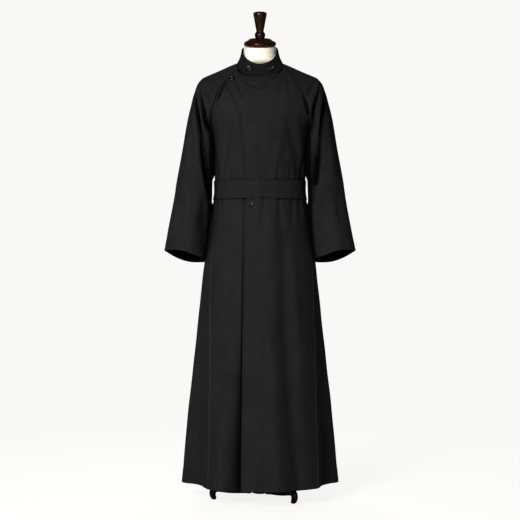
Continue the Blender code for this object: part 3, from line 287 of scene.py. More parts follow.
# The smaller creases, in the same form as the folds.
CREASES = fold_table(
    front=[
        # chest
        (-114.5, 1446, -139, 1400, -156, 1350, -7, -11, -4, 4.5, 5, 5),
        (150, 1397, 158, 1372, 166, 1335, -2, -6, -4, 5, 6, 6),
        (-82, 1448, -68, 1413, -55, 1376, -3, -5.5, -1, 4, 6, 7),
        (-46, 1440, -27, 1430, -6, 1419, -2, -5.5, -3, 4, 5.5, 6),
        (-4, 1418, 26, 1436, 69, 1476, -3, -5, -2, 6, 6, 5),
        (38, 1435, 59, 1463, 79, 1494, 0, -3, -3, 7, 6, 4),
        (90, 1477, 97, 1435, 107, 1373, -2.25, -3.3, 0, 5, 8, 12),
        (83, 1485, 72, 1427, 62, 1345, -1.5, -2.25, 0, 5, 9, 14),
        (-74, 1490, -69, 1479, -62, 1469, -4.5, -6, -3, 3, 3, 3),
        # bodice
        (-95, 1300, -110, 1222, -129, 1130, -1.5, -6, -3.5, 7, 8, 9),
        (-129, 1307, -146, 1222, -156, 1120, 1, 2.5, 1, 9, 10, 10),
        (-78, 1205, -92, 1154, -102, 1110, 0, -2, -3, 8, 8, 6),
        (96, 1307, 113, 1229, 140, 1110, -1, -3.5, -2.5, 8, 11, 9),
        (79, 1314, 65, 1212, 41, 1110, 1, 3, 1.5, 12, 13, 9),
        (123, 1328, 137, 1239, 154, 1154, 1, 3, 1, 8, 9, 8),
        (-104, 1150, -103, 1129, -102, 1104, 0, -1.3, -2.4, 6, 4.6, 4),
        (-84, 1140, -82, 1124, -81, 1104, 0, -1.5, -2.8, 5.3, 4, 3.5),
        (-46, 1130, -45, 1119, -44, 1104, 0, -1.1, -2, 4.5, 3.4, 3),
        (-22, 1137, -21, 1122, -20, 1104, 0, 1, 0, 4.5, 3.4, 3),
        (0, 1140, 1, 1124, 2, 1104, 0, -1.5, -2.8, 5.3, 4, 3.5),
        (20, 1133, 22, 1121, 22, 1104, 0, -1, -1.8, 4.5, 3.4, 3),
        (36, 1154, 37, 1131, 38, 1104, 0, 1.3, 0, 6, 4.6, 4),
        (61, 1178, 63, 1143, 63, 1104, 0, -1.9, -3.4, 6.7, 5.2, 4.5),
        (80, 1144, 81, 1126, 82, 1104, 0, 1.1, 0, 5.3, 4, 3.5),
        (102, 1171, 104, 1139, 104, 1104, 0, -1.6, -3, 6, 4.6, 4),
        (124, 1144, 126, 1126, 126, 1104, 0, -0.9, -1.6, 5.3, 4, 3.5),
        # under the cincture
        (-133, 1043, -134, 1000, -136, 960, -1.55, -0.93, 0, 5, 7.5, 12),
        (-110, 1043, -113, 983, -115, 925, -3.1, -1.86, 0, 5, 7.5, 12),
        (-90, 1043, -92, 990, -93, 939, 0, 1.24, 0, 5, 7.5, 12),
        (-55, 1043, -55, 995, -55, 949, -2.79, -1.67, 0, 4.5, 6.7, 10.8),
        (-29, 1043, -28, 1014, -27, 987, -2.17, -1.3, 0, 3.5, 5.3, 8.4),
        (-13, 1043, -12, 978, -12, 915, 0, 1.3, 0, 6, 9, 14.4),
        (12, 1043, 13, 990, 15, 939, -3.72, -2.23, 0, 5, 7.5, 12),
        (36, 1043, 40, 970, 43, 898, 0, 1.49, 0, 6, 9, 14.4),
        (65, 1043, 68, 960, 70, 878, -4.03, -2.42, 0, 5.5, 8.3, 13.2),
        (87, 1043, 91, 977, 94, 912, 0, 1.36, 0, 5.5, 8.3, 13.2),
        (110, 1043, 114, 973, 119, 905, -3.41, -2.05, 0, 5, 7.5, 12),
        (135, 1043, 139, 987, 143, 932, -2.48, -1.49, 0, 4.5, 6.7, 10.8),
        (150, 1043, 154, 995, 157, 949, 0, 0.99, 0, 4, 6, 9.6),
    ],
    back=[
        # back, above and below the cincture
        (-118, 1170, -116, 1140, -115, 1104, 0, -1.28, -2.55, 6, 5, 4),
        (-88, 1150, -87, 1128, -87, 1104, 0, -0.94, -1.87, 5, 4, 3.5),
        (-60, 1185, -57, 1145, -56, 1104, 0, -1.53, -2.89, 7, 6, 4.5),
        (-31, 1144, -31, 1126, -30, 1104, 0, 0.85, 0, 5, 4, 3.5),
        (-8, 1160, -7, 1130, -6, 1104, 0, -1.19, -2.38, 6, 5, 4),
        (24, 1140, 25, 1124, 25, 1104, 0, -0.85, -1.7, 5, 4, 3.5),
        (51, 1190, 50, 1150, 49, 1104, 0, -1.7, -3.06, 7, 6, 4.5),
        (82, 1148, 81, 1126, 81, 1104, 0, -1.02, -2.04, 5, 4, 3.5),
        (112, 1165, 111, 1138, 110, 1104, 0, -1.28, -2.38, 6, 5, 4),
        (-126, 1043, -129, 985, -132, 930, -3.82, -2.38, 0, 5, 7.5, 12),
        (-98, 1043, -100, 995, -101, 945, 0, 1.53, 0, 5, 7.5, 12),
        (-74, 1043, -76, 975, -79, 905, -4.67, -2.89, 0, 5.5, 8, 13),
        (-41, 1043, -42, 985, -44, 930, -2.97, -1.78, 0, 5, 7.5, 11),
        (-18, 1043, -18, 978, -19, 915, 0, 1.7, 0, 6, 9, 14),
        (6, 1043, 6, 970, 5, 895, -4.93, -3.06, 0, 5, 8, 13),
        (34, 1043, 35, 990, 37, 940, -3.23, -1.87, 0, 4.5, 7.5, 12),
        (60, 1043, 62, 975, 64, 910, 0, 1.7, 0, 6, 9, 14),
        (86, 1043, 89, 980, 92, 915, -4.67, -2.8, 0, 5, 7.5, 12),
        (116, 1043, 119, 990, 123, 935, -3.57, -2.13, 0, 5, 7.5, 12),
        # shoulders and upper back
        (-150, 1330, -135, 1395, -105, 1455, -1.5, -5.25, -2.25, 7, 9, 8),
        (146, 1325, 130, 1392, 108, 1460, -1.5, -6, -2.25, 7, 9, 8),
        (-70, 1470, -30, 1452, 20, 1458, -1.5, -3.75, -1.5, 6, 8, 7),
        (-88, 1290, -96, 1210, -104, 1140, -1.5, -6, -3, 8, 10, 9),
        (70, 1310, 80, 1220, 96, 1130, -1.5, -6.75, -4.5, 9, 11, 9),
        (-10, 1300, -4, 1230, -6, 1160, 0, 3.3, 0, 12, 13, 10),
    ],
    left=[
        # sides
        (-40, 1250, -48, 1180, -50, 1106, -2, -4.5, -4, 9, 9, 6),
        (20, 1230, 16, 1165, 12, 1106, -1, -3.5, -3.5, 8, 9, 5),
        (55, 1200, 52, 1150, 50, 1106, 0, -2, -3, 6, 7, 5),
        (-45, 1043, -47, 980, -50, 915, -5, -3, 0, 5, 8, 13),
        (-10, 1043, -12, 985, -14, 930, -4, -2.5, 0, 5, 8, 12),
        (28, 1043, 31, 975, 34, 905, -5.2, -3.2, 0, 5, 8, 13),
        (58, 1043, 62, 990, 66, 940, 0, 1.8, 0, 5, 8, 12),
    ],
    right=[
        (-38, 1240, -46, 1175, -48, 1106, -2, -5, -4, 9, 9, 6),
        (12, 1225, 10, 1160, 8, 1106, -1, -3, -3, 8, 9, 5),
        (50, 1210, 49, 1155, 47, 1106, 0, -2.5, -3.5, 6, 7, 5),
        (-50, 1043, -53, 985, -56, 925, -4.8, -3, 0, 5, 8, 13),
        (-18, 1043, -20, 975, -23, 910, 0, 2, 0, 5, 8, 12),
        (16, 1043, 18, 980, 20, 915, -5.2, -3.2, 0, 5, 8, 13),
        (52, 1043, 55, 985, 60, 925, -4.2, -2.6, 0, 5, 8, 13),
    ],
)
SLEEVE_CREASES = fold_table(
    front=[
        # hanging from the shoulder
        (-228, 1375, -222, 1290, -214, 1190, 1.5, 6.75, 3, 9, 12, 12),
        (-203, 1448, -186, 1408, -165, 1378, -1.5, -6.75, -4.5, 7, 8, 7),
        (-246, 1330, -240, 1240, -250, 1140, -1.5, -5.25, -1.5, 9, 12, 12),
        (-194, 1050, -194, 970, -202, 860, -1.5, -13.5, -7.5, 12, 17, 18),
        (-268, 1060, -270, 980, -284, 900, -0.75, -4.5, -1.5, 11, 14, 14),
        (197, 1452, 178, 1420, 160, 1392, -1.5, -6, -4.5, 7, 8, 7),
        (225, 1385, 216, 1300, 206, 1200, 1.5, 6.75, 3, 9, 12, 12),
        (248, 1340, 238, 1220, 222, 1110, -1, -3, -2, 9, 12, 12),
        (234, 1020, 238, 970, 250, 910, -1.5, -9, -3, 12, 15, 16),
        (212, 1060, 214, 985, 226, 880, -1.5, -10.5, -6, 12, 16, 17),
        (270, 1080, 276, 1000, 290, 910, -0.75, -4.5, -1.5, 11, 14, 14),
    ],
    back=[
        (-232, 1360, -222, 1270, -212, 1170, 1.5, 6.75, 3, 9, 12, 12),
        (-240, 1130, -226, 1070, -205, 1010, -1.5, -9, -6, 10, 12, 12),
        (-258, 1050, -262, 970, -278, 890, -1.5, -6.75, -1.5, 11, 14, 14),
        (234, 1370, 224, 1280, 214, 1190, 1.5, 6.75, 3, 9, 12, 12),
        (238, 1140, 222, 1075, 203, 1015, -1.5, -9, -6, 10, 12, 12),
        (260, 1050, 266, 975, 280, 895, -1.5, -7.5, -1.5, 11, 14, 14),
    ],
    left=[
        (-30, 1390, -24, 1260, -30, 1120, -3, -7.5, -3, 12, 15, 14),
        (28, 1350, 20, 1220, 26, 1080, -3, -6.75, -3, 12, 15, 14),
    ],
    right=[
        (-30, 1380, -22, 1250, -28, 1110, -3, -7.5, -3, 12, 15, 14),
        (26, 1340, 20, 1230, 28, 1090, -3, -6.75, -3, 12, 15, 14),
    ],
)

EASE_FAR, EASE_BLUR = 0.060, 0.034  # how widely the chest and the back are eased
SIDE_SEAM_X = 0.168  # of the body's side, where nothing is eased
CREASE_LIPS = 0.28  # how far the cloth stands up beside a crease, to its depth
CORNER_ROWS, CORNER_X = 22, -0.030  # the part of the flap that lies on the sleeve

# How the hanging sleeves touch the body.
SLEEVE_CLEAR = 0.0012  # from the body's side to the sleeve that lies against it
SLEEVE_SHIFT = 0.006  # the most that a ring of a sleeve is moved in
SLEEVE_HOLD = 0.032  # how near the body the inner side of a sleeve is drawn to it
SHIFT_FADE = (0.170, 0.240)  # where the shift of a ring fades out, away from the body
HOLD_FADE = (0.050, 0.080)  # where the hold fades out, to the front and back
INNER_X, INNER_Y = 0.20, 0.045  # how far out and forward a sleeve's inner side goes
ARMPIT_FREE = (1.250, 1.300)  # from here up the sleeves hang free
BELT_FREE = (1.015, 1.036, 1.108, 1.135)  # and between these, beside the belt

# Seams: the line itself, the turnings beside it, and the pucker along it.
SEAM_DEEP, SEAM_WIDE = 0.0012, 0.0014
RIDGE_HIGH, RIDGE_WIDE = 0.0010, 0.0016  # the seams of the front skirt are pressed out
TURNING_HIGH, TURNING_AT, TURNING_WIDE = 0.0003, 0.005, 0.003
PUCKER_HIGH, PUCKER_WIDE = 0.00025, 0.010
SEAM_HIGHLIGHT_WIDE, DARK_WIDE = 0.0034, 0.0018  # of the painted highlight on the pressed-out seams and the painted shade in the seam grooves
SEAM_HIGHLIGHT_FADE = (0.76, 0.88)  # the heights between which the painted seam highlight ends, up where the sleeves shade the skirt
EDGE_STEP, DIMPLE_WIDE = 0.0006, 0.0013  # of a turned edge and of its row of stitches
EDGE_ROUND = 0.0015  # from the table's edge to the outermost of the turned cloth
TURNED_UP = 0.0010  # how much thicker the cloth is where it is turned up
FREE_ROUND = 0.35  # how far a loose edge is rounded out, to its thickness
BELT_RISE = (-0.085, -0.060)  # where the cincture rises over the edge of the wrapping front
BELT_AWAY, BELT_WAVE = 0.0004, 0.0008  # its extra distance from the cloth, and its unevenness

# The four holes of a button, to its radius, and the thread in them.
HOLE_AT, HOLE_LOW, HOLE_HIGH = 0.155, 0.055, 0.105
HOLE_DEEP, BUTTON_THREAD = 0.0011, 0.00045

TROUGH_WIDE, TROUGH_DEEP = 0.0035, 0.0050  # beside the edge of the front that wraps over
TROUGH_CLOSED, TROUGH_FULL = 0.80, 0.66  # how far the belt closes it, and the height it is whole from
# Painted light in the cloth's colour: how much lighter the painted highlight on the pressed-out seams is, and
# how much darker the painted shade is in the seam grooves, in the painted shadow beside the wrapping front's
# edge and on the inside of the cloth.
SEAM_HIGHLIGHT_PAINT, SEAM_PAINTED_SHADE, EDGE_PAINTED_SHADOW, INSIDE_PAINTED_SHADE = 0.72, -0.35, -0.70, -0.97
SHADOW_WIDE, SHADOW_TOP = 0.020, 0.66  # of the painted shadow beside that edge, wide at the hem
FOLD_PAINTED_SHADE, DARK_AT, DARK_REACH = 0.995, 0.015, 1.15  # of the painted shade at the bottoms of folds this deep and more

# The studio camera.
CAMERA_FAR, CAMERA_Z, FOCAL_PX = 4.6, 0.83, 1314.3
FLOOR_WIDE, FLOOR_Z = 40.0, -0.001
PAPER = (0.960, 0.953, 0.940)  # what the camera sees behind the form
ROOM_LIGHT = 0.07
GAMMA = 0.80  # of the picture's tones
FLOOR_GLOW = 0.93  # the paper's own light near the stand
TWILL_RIBS = 360.0  # how fine the ribs of the twill are
AO_RAYS = 12  # sent out to find how deep in a fold a place lies
COLLAR_PAINTED_SHADE = 0.65  # painted shade: the collar's copy of the twill is darker


# ---------------------------------------------------------------- curves
def smooth_curve(xs, ys, x):
    """Values at x of the curve through the points, without overshoot between them."""
    xs, ys = np.asarray(xs, float), np.asarray(ys, float)
    step = np.diff(xs)
    rise = np.diff(ys) / step
    slope = np.zeros_like(ys)
    slope[0], slope[-1] = rise[0], rise[-1]
    for i in range(1, len(xs) - 1):
        if rise[i - 1] * rise[i] > 0:
            a, b = 2 * step[i] + step[i - 1], step[i] + 2 * step[i - 1]
            slope[i] = (a + b) / (a / rise[i - 1] + b / rise[i])
    x = np.clip(x, xs[0], xs[-1])
    i = np.clip(np.searchsorted(xs, x, side="right") - 1, 0, len(step) - 1)
    f = (x - xs[i]) / step[i]
    h00, h10 = (1 + 2 * f) * (1 - f) ** 2, f * (1 - f) ** 2
    h01, h11 = f * f * (3 - 2 * f), f * f * (f - 1)
    ends = h00 * ys[i] + h01 * ys[i + 1]
    return ends + step[i] * (h10 * slope[i] + h11 * slope[i + 1])


def read(table, column, at, key="z"):
    """One column of a table, read at the given values of its key column."""
    keys = [getattr(row, key) for row in table]
    values = [getattr(row, column) for row in table]
    if keys[0] > keys[-1]:
        keys, values = keys[::-1], values[::-1]
    return smooth_curve(keys, values, at)


def ramp(low, high, x):
    """0 up to low and 1 from high on, with a smooth rise between them."""
    f = np.clip((x - low) / (high - low), 0, 1)
    return f * f * (3 - 2 * f)


def bell(distance, wide):
    """1 where the distance is 0, falling softly away over the width."""
    return np.exp(-((distance / wide) ** 2))


def unit(v):
    """Vectors in the same directions, all of length 1."""
    return v / np.maximum(np.linalg.norm(v, axis=-1, keepdims=True), 1e-12)


def fractions(count, low_edge=True, high_edge=True):
    """Places from 0 to 1 in count cells, with finer cells beside an edge."""
    places = set(np.linspace(0, 1, count + 1))
    for near in (0.16, 0.38, 0.66):
        if low_edge:
            places.add(near / count)
        if high_edge:
            places.add(1 - near / count)
    return np.array(sorted(places))


def levels(stops, cell, fine=()):
    """Heights through all the stops, about a cell apart, with finer ones about each fine height."""
    out = set()
    for a, b in zip(stops, stops[1:]):
        out |= set(np.linspace(a, b, max(1, round((b - a) / cell)) + 1))
    for z in fine:
        out = {q for q in out if abs(q - z) > 0.0012 or q in stops}
        out |= {z - 0.0030, z - 0.0010, z + 0.0010, z + 0.0030}
    return np.array(sorted(q for q in out if stops[0] <= q <= stops[-1]))


# ---------------------------------------------------------------- the worn surface
def body_point(u, z):
    """Points of the body's tube. u is 0 at centre front, 1 and 3 at the seams, 4 at back."""
    u, z = np.broadcast_arrays(np.asarray(u, float), np.asarray(z, float))
    side, depth = np.where(u < 0, -1.0, 1.0), np.abs(u)
    half, pull, flat = (read(BODY, c, z) for c in ("side", "pull", "flat"))
    seam_x = np.where(side < 0, read(BODY, "seam_right", z), read(BODY, "seam_left", z))
    seam = np.arcsin(np.minimum(0.999, seam_x / half))
    front = depth <= 2
    reach = np.where(front, read(BODY, "front", z), read(BODY, "back", z))
    v = np.where(front, depth, 4 - depth)
    f = np.clip(v - 1, 0, 1)
    a = np.where(v <= 1, seam * v, seam + (math.pi / 2 - seam) * f)
    x = half * np.sin(a)
    y = reach * np.cos(a) * (1 - pull * np.where(v <= 1, v * v, 1 - f))
    corner_x, corner_y = half * np.sin(seam), reach * np.cos(seam) * (1 - pull)
    chord_x = corner_x + (half - corner_x) * f
    chord_y = corner_y * (1 - f) - 0.012 * np.sin(math.pi * f)
    share = np.where(v > 1, flat * (1 - ramp(0.55, 1.0, f)), 0.0)
    x, y = x + (chord_x - x) * share, y + (chord_y - y) * share
    return np.stack([side * x, np.where(front, -1, 1) * y, z], axis=-1)


def panel_point(table, way, u, t):
    """Points of the front or back above the armhole. u is -1 and 1 at the raglan seams."""
    x, y, z, deep, high = (read(table, c, t, "t") for c in ("x", "y", "z", "deep", "high"))
    inside = np.clip(u, -1, 1)
    at_seam = math.cos(SEAM_ANGLE)
    c = np.maximum((np.cos(inside * SEAM_ANGLE) - at_seam) / (1 - at_seam), 0.0)
    across = x * np.sin(inside * SEAM_ANGLE) / math.sin(SEAM_ANGLE)
    return np.stack([across, way * (y + (deep - y) * c), z + (high - z) * c**0.8], axis=-1)


def neck_side(side, f):
    """The collar's foot between the front and back raglan seams, f from 0 to 1."""
    a, b = RAGLAN_FRONT[-1], RAGLAN_BACK[-1]
    start, end = np.array([a.x, -a.y, a.z]), np.array([b.x, b.y, b.z])
    bend = 2 * np.array(NECK_SIDE) - (start + end) / 2
    f = np.asarray(f, float)[:, None]
    p = (1 - f) ** 2 * start + 2 * f * (1 - f) * bend + f * f * end
    return p * np.array([side, 1, 1])


def ring_point(v, angle):
    """Points of the wearer's left sleeve: v runs over its rings, angle from the top line."""
    v, angle = np.broadcast_arrays(np.asarray(v, float), np.asarray(angle, float))
    rows = np.arange(len(SLEEVE))
    out_x, out_z, inn_x, inn_z, front, back, lead = (
        smooth_curve(rows, [getattr(r, c) for r in SLEEVE], v) for c in Ring._fields
    )
    c, s = np.cos(angle), np.sin(angle)
    x = (out_x + inn_x) / 2 + c * (out_x - inn_x) / 2
    z = (out_z + inn_z) / 2 + c * (out_z - inn_z) / 2 + s * abs(s) * lead
    return np.stack([x, -s * np.where(s > 0, front, back), z], axis=-1)


def ring_angle(p):
    """The angles at which the first ring passes nearest points of the raglan seam."""
    first = SLEEVE[0]
    top, low = np.array([first.out_x, first.out_z]), np.array([first.inn_x, first.inn_z])
    half = np.linalg.norm(top - low) / 2
    along = ((p[:, [0, 2]] - (top + low) / 2) @ ((top - low) / (2 * half))) / half
    across = -p[:, 1] / np.where(p[:, 1] < 0, first.front, first.back)
    return np.arctan2(across, along)


def between(stops, parts):
    """Columns from stop to stop in every row, in the fractions of each part."""
    columns = [stops[0][:, None]]
    for a, b, part in zip(stops, stops[1:], parts):
        columns.append(a[:, None] + (b - a)[:, None] * part[None, 1:])
    return np.concatenate(columns, axis=1)


def body_columns(z, parts):
    """The columns round the body at each height, from the back seam round by the front."""
    half = read(BODY, "side", z)
    seam = np.arcsin(read(BODY, "seam_right", z) / half)
    lap = -np.arcsin(-read(LAP_EDGE, "x", z) / half) / seam
    left_seam = np.arcsin(read(BODY, "seam_left", z) / half)
    under = np.arcsin(UNDER_EDGE / half) / left_seam
    one = np.ones_like(z)
    return between([-4 * one, -3 * one, -one, lap, under, one, 3 * one, 4 * one], parts)


def front_columns(t, parts):
    """The columns of the upper front in each row, from seam to seam."""
    x, z = read(RAGLAN_FRONT, "x", t, "t"), read(RAGLAN_FRONT, "z", t, "t")
    edge = -read(LAP_EDGE, "x", np.minimum(z, LAP_EDGE[0].z))
    lap = -np.arcsin(np.minimum(0.999, edge / x * math.sin(SEAM_ANGLE))) / SEAM_ANGLE
    lap = np.maximum(lap, LAP_LEAST + LAP_DRAWN * ramp(0.87, 1.0, t))
    under = np.arcsin(UNDER_EDGE * (1 - t) / x * math.sin(SEAM_ANGLE)) / SEAM_ANGLE
    stops = [-np.ones_like(t), lap, under, np.ones_like(t)]
    fine = between(stops, parts)

    # Above the wrapping front there is no edge to stitch, and the columns are evenly spaced.
    even = between(stops, [np.linspace(0, 1, len(part)) for part in parts[:2]] + [parts[2]])
    return fine + (even - fine) * ramp(*EVEN_FROM, t)[:, None]


def flap_points(t, part):
    """The wrapping front from its edge to where the lower one ends, in each row of the upper part.

    Past the raglan seam the points go straight out; they are laid on the sleeve afterwards.
    """
    x, z = read(RAGLAN_FRONT, "x", t, "t"), read(RAGLAN_FRONT, "z", t, "t")
    edge = np.interp(z, [r[0] for r in FLAP_CORNER], [r[1] for r in FLAP_CORNER])
    edge = np.where(z > FLAP_CORNER[0][0], edge, read(LAP_EDGE, "x", z))
    across = edge[:, None] + (UNDER_EDGE * (1 - t) - edge)[:, None] * part[None, :]
    bend = across / x[:, None] * math.sin(SEAM_ANGLE)
    u = np.arcsin(np.clip(bend, -math.sin(SEAM_ANGLE), math.sin(SEAM_ANGLE))) / SEAM_ANGLE
    p = panel_point(RAGLAN_FRONT, -1, u, t[:, None])
    p[..., 0] += np.minimum(across + x[:, None], 0.0)
    return p


# ---------------------------------------------------------------- folds
def along_fold(points, normals, fold):
    """The points near a fold, how squarely each faces its way, and the fold's depth and reach there."""
    if fold.face in ("front", "back"):
        way, a, axis = (-1 if fold.face == "front" else 1), points[:, 0], 1
        facing = (0.05, 0.5)
    else:
        way, a, axis = (1 if fold.face == "left" else -1), points[:, 1], 0
        facing = (0.3, 0.7)
    z = points[:, 2]
    ends = np.array([(fold.a0, fold.z0), (fold.a1, fold.z1), (fold.a2, fold.z2)])
    s = np.linspace(0, 1, 15)[:, None]
    bend = 2 * ends[1] - (ends[0] + ends[2]) / 2
    line = (1 - s) ** 2 * ends[0] + 2 * s * (1 - s) * bend + s * s * ends[2]
    room = 3.6 * max(fold.w0, fold.w1, fold.w2)
    low, high = line.min(0) - room, line.max(0) + room
    near = (a > low[0]) & (a < high[0]) & (z > low[1]) & (z < high[1]) & (way * normals[:, axis] > 0)
    at = np.nonzero(near)[0]
    here = np.stack([a[at], z[at]], axis=1)
    best, where = np.full(len(at), 1e9), np.zeros(len(at))
    for i in range(len(line) - 1):
        run = line[i + 1] - line[i]
        f = np.clip(((here - line[i]) @ run) / (run @ run), 0, 1)
        d = np.linalg.norm(here - line[i] - f[:, None] * run, axis=1)
        closer = d < best
        best, where = np.where(closer, d, best), np.where(closer, (i + f) / (len(line) - 1), where)
    deep = np.interp(where, (0, 0.5, 1), (fold.d0, fold.d1, fold.d2))
    wide = np.interp(where, (0, 0.5, 1), (fold.w0, fold.w1, fold.w2))
    return at, ramp(*facing, way * normals[at, axis]), deep, best / wide


def pressed(points, normals, folds, lips=0.0):
    """How far every fold that faces a point's way moves it out along its normal."""
    moved = np.zeros(len(points))
    for fold in folds:
        at, facing, deep, q = along_fold(points, normals, fold)
        shape = np.exp(-q * q) - lips * bell(q - 2.0, 0.8)
        moved[at] += facing * deep * shape
    return moved


def darkness(points, normals, folds):
    """How much painted shade the bottom of each deep fold gets, from 0 to 1, where its sides shut the light
    out.
    """
    dark = np.zeros(len(points))
    for fold in folds:
        at, facing, deep, q = along_fold(points, normals, fold)
        strong = np.minimum(1, -deep / DARK_AT) * np.minimum(1, 4 * facing)
        dark[at] = np.maximum(dark[at], strong * np.exp(-((q / DARK_REACH) ** 4)))
    return dark


def unevenness(points):
    """The slow waviness of hand-cut, pressed and worn wool, in metres."""
    total = np.zeros(len(points))
    for kx, ky, kz, size, phase in WAVES:
        total += size * np.sin(points @ np.array([kx, ky, kz]) + phase)
    return total


# ---------------------------------------------------------------- the mesh of the whole cloth
class Cloth:
    """The whole worn surface as welded grids, so that pieces share their seam points."""

    def __init__(self):
        self.raw, self.ids, self.count = [], {}, 0

    def add(self, name, points):
        """Adds a grid of points under a name."""
        rows, cols = points.shape[:2]
        self.ids[name] = self.count + np.arange(rows * cols).reshape(rows, cols)
        self.raw.append(points.reshape(-1, 3))
        self.count += rows * cols

    def weld(self):
        """Makes one point of those that lie together."""
        raw = np.concatenate(self.raw)
        keys = np.round(raw * 1e6).astype(np.int64)
        _, first, new = np.unique(keys, axis=0, return_index=True, return_inverse=True)
        new = new.reshape(-1)
        self.points = raw[first]
        self.ids = {name: new[ids] for name, ids in self.ids.items()}


def quads(ids, flip=False):
    """The four-sided faces of a grid of point numbers, without any that has shrunk to a line."""
    q = np.stack([ids[:-1, :-1], ids[:-1, 1:], ids[1:, 1:], ids[1:, :-1]], axis=-1).reshape(-1, 4)
    ordered = np.sort(q, axis=1)
    q = q[(np.diff(ordered, axis=1) > 0).all(1)]
    return q[:, ::-1] if flip else q


def grid_normals(points, faces):
    """The surface's direction at each point, each face counting the same."""
    a, b, c, d = (points[faces[:, k]] for k in range(4))
    n = unit(np.cross(c - a, d - b))
    total = np.zeros_like(points)
    for k in range(4):
        for axis in range(3):
            total[:, axis] += np.bincount(faces[:, k], n[:, axis], len(points))
    return unit(total)


def edge_keys(edges):
    """One number for each edge, the same whichever way the edge runs."""
    return edges.min(1).astype(np.int64) * (1 << 31) + edges.max(1)


def border(faces):
    """The edges that only one face has, each in that face's direction, with their keys."""
    edges = np.stack([faces.reshape(-1), np.roll(faces, -1, axis=1).reshape(-1)], axis=1)
    keys = edge_keys(edges)
    _, new, count = np.unique(keys, return_inverse=True, return_counts=True)
    lone = count[new.reshape(-1)] == 1
    return edges[lone], keys[lone]

# ---------------------------------------------------------------- the garment's surface
def eased(low, high):
    """Two grids, one above the other, with their depth eased about the row that they share."""
    rows = np.concatenate([low[:-1], high])
    z, y = rows[..., 2], rows[..., 1]
    away = rows[len(low) - 1, :, 2]
    weight = bell(z - away, EASE_FAR) * ramp(0.0, 0.03, abs(abs(rows[..., 0]) - SIDE_SEAM_X))
    run = z.mean(axis=1)
    blur = bell(run[:, None] - run[None], EASE_BLUR) * np.gradient(run)[None]
    soft = (blur @ y) / blur.sum(axis=1, keepdims=True)
    rows[..., 1] = y + (soft - y) * weight
    return rows[: len(low)], rows[len(low) - 1 :]


def body_tube(parts):
    """The body from the hem up to the armhole: the heights of its rows, and its points."""
    fine = (HEM_Z + HEM_DEEP, BELT_LOW - 0.004, BELT_TOP + 0.004)
    z = levels((HEM_Z, BELT_LOW, BELT_TOP, ARM_Z), CELL, fine)
    z = np.array(sorted(set(z) | {HEM_Z + 0.001, HEM_Z + 0.0025}))
    return z, body_point(body_columns(z, parts), z[:, None])


def sleeve_rows():
    """Where the rows of a sleeve lie among its rings, from the seam down to the cuff."""
    steps = [math.hypot(b.out_x - a.out_x, b.out_z - a.out_z) for a, b in zip(SLEEVE, SLEEVE[1:])]
    far = np.cumsum([0] + steps)
    v = np.interp(levels((0, far[-1]), SLEEVE_CELL, (far[-1] - CUFF_DEEP,)), far, np.arange(len(far)))
    return np.array(sorted(set(v) | {v[-1] - 0.02, v[-1] - 0.045, 0.03, 0.07}))


def sleeve_fan(side, loop, v):
    """A sleeve's rows, from the loop of seam points round the armhole into the rings below."""
    mirror = np.array([side, 1, 1])
    mirrored = loop * mirror
    angles = ring_angle(mirrored)
    keep = 1 - ramp(0, 7, v)
    fan = ring_point(v[:, None], angles[None])
    fan = (fan + (mirrored - ring_point(0.0, angles)) * keep[:, None, None]) * mirror
    fan[0] = loop
    return fan


def collar_band(foot):
    """The collar's rows, from its foot on the neck edge up to its top."""
    a, b, c = COLLAR_TOP
    rise = ((a + c) / 4 + b / 2, (a - c) / 2, (a + c) / 4 - b / 2)
    at = np.arctan2(foot[:, 0], -foot[:, 1])
    deep = np.where(foot[:, 1] < 0, COLLAR_FRONT, COLLAR_BACK)
    top = np.stack([
        COLLAR_HALF * np.sin(at), -deep * np.cos(at),
        rise[0] + rise[1] * np.cos(at) + rise[2] * np.cos(2 * at),
    ], axis=-1)
    f = fractions(14)[:, None, None]
    band = foot * (1 - f) + top * f
    band[..., :2] *= 1 - 0.035 * np.sin(math.pi * f)
    return band


def piece_faces(ids, stops, start):
    """The faces of every piece: the whole surface, and then the front that wraps over it."""

    def tube(a, b):
        return quads(ids["tube"][:, stops[a] : stops[b] + 1])

    faces = {
        "back_panel": [tube(0, 1), tube(6, 7), quads(ids["rear"])],
        "side_gore_right": [tube(1, 2)],
        "front_underlap": [tube(2, 4), quads(ids["front"][:, : start + 1])],
        "plain_front": [tube(4, 5), quads(ids["front"][:, start:])],
        "side_gore_left": [tube(5, 6)],
        "sleeve_left": [quads(ids["sleeve_left"], flip=True)],
        "sleeve_right": [quads(ids["sleeve_right"])],
        "collar": [quads(ids["collar"])],
    }
    faces = {name: np.concatenate(f) for name, f in faces.items()}
    base = np.concatenate(list(faces.values()))
    over = [tube(3, 4), quads(ids["flap"]), faces.pop("plain_front")]
    faces["front_overlap"] = np.concatenate(over)
    return base, faces


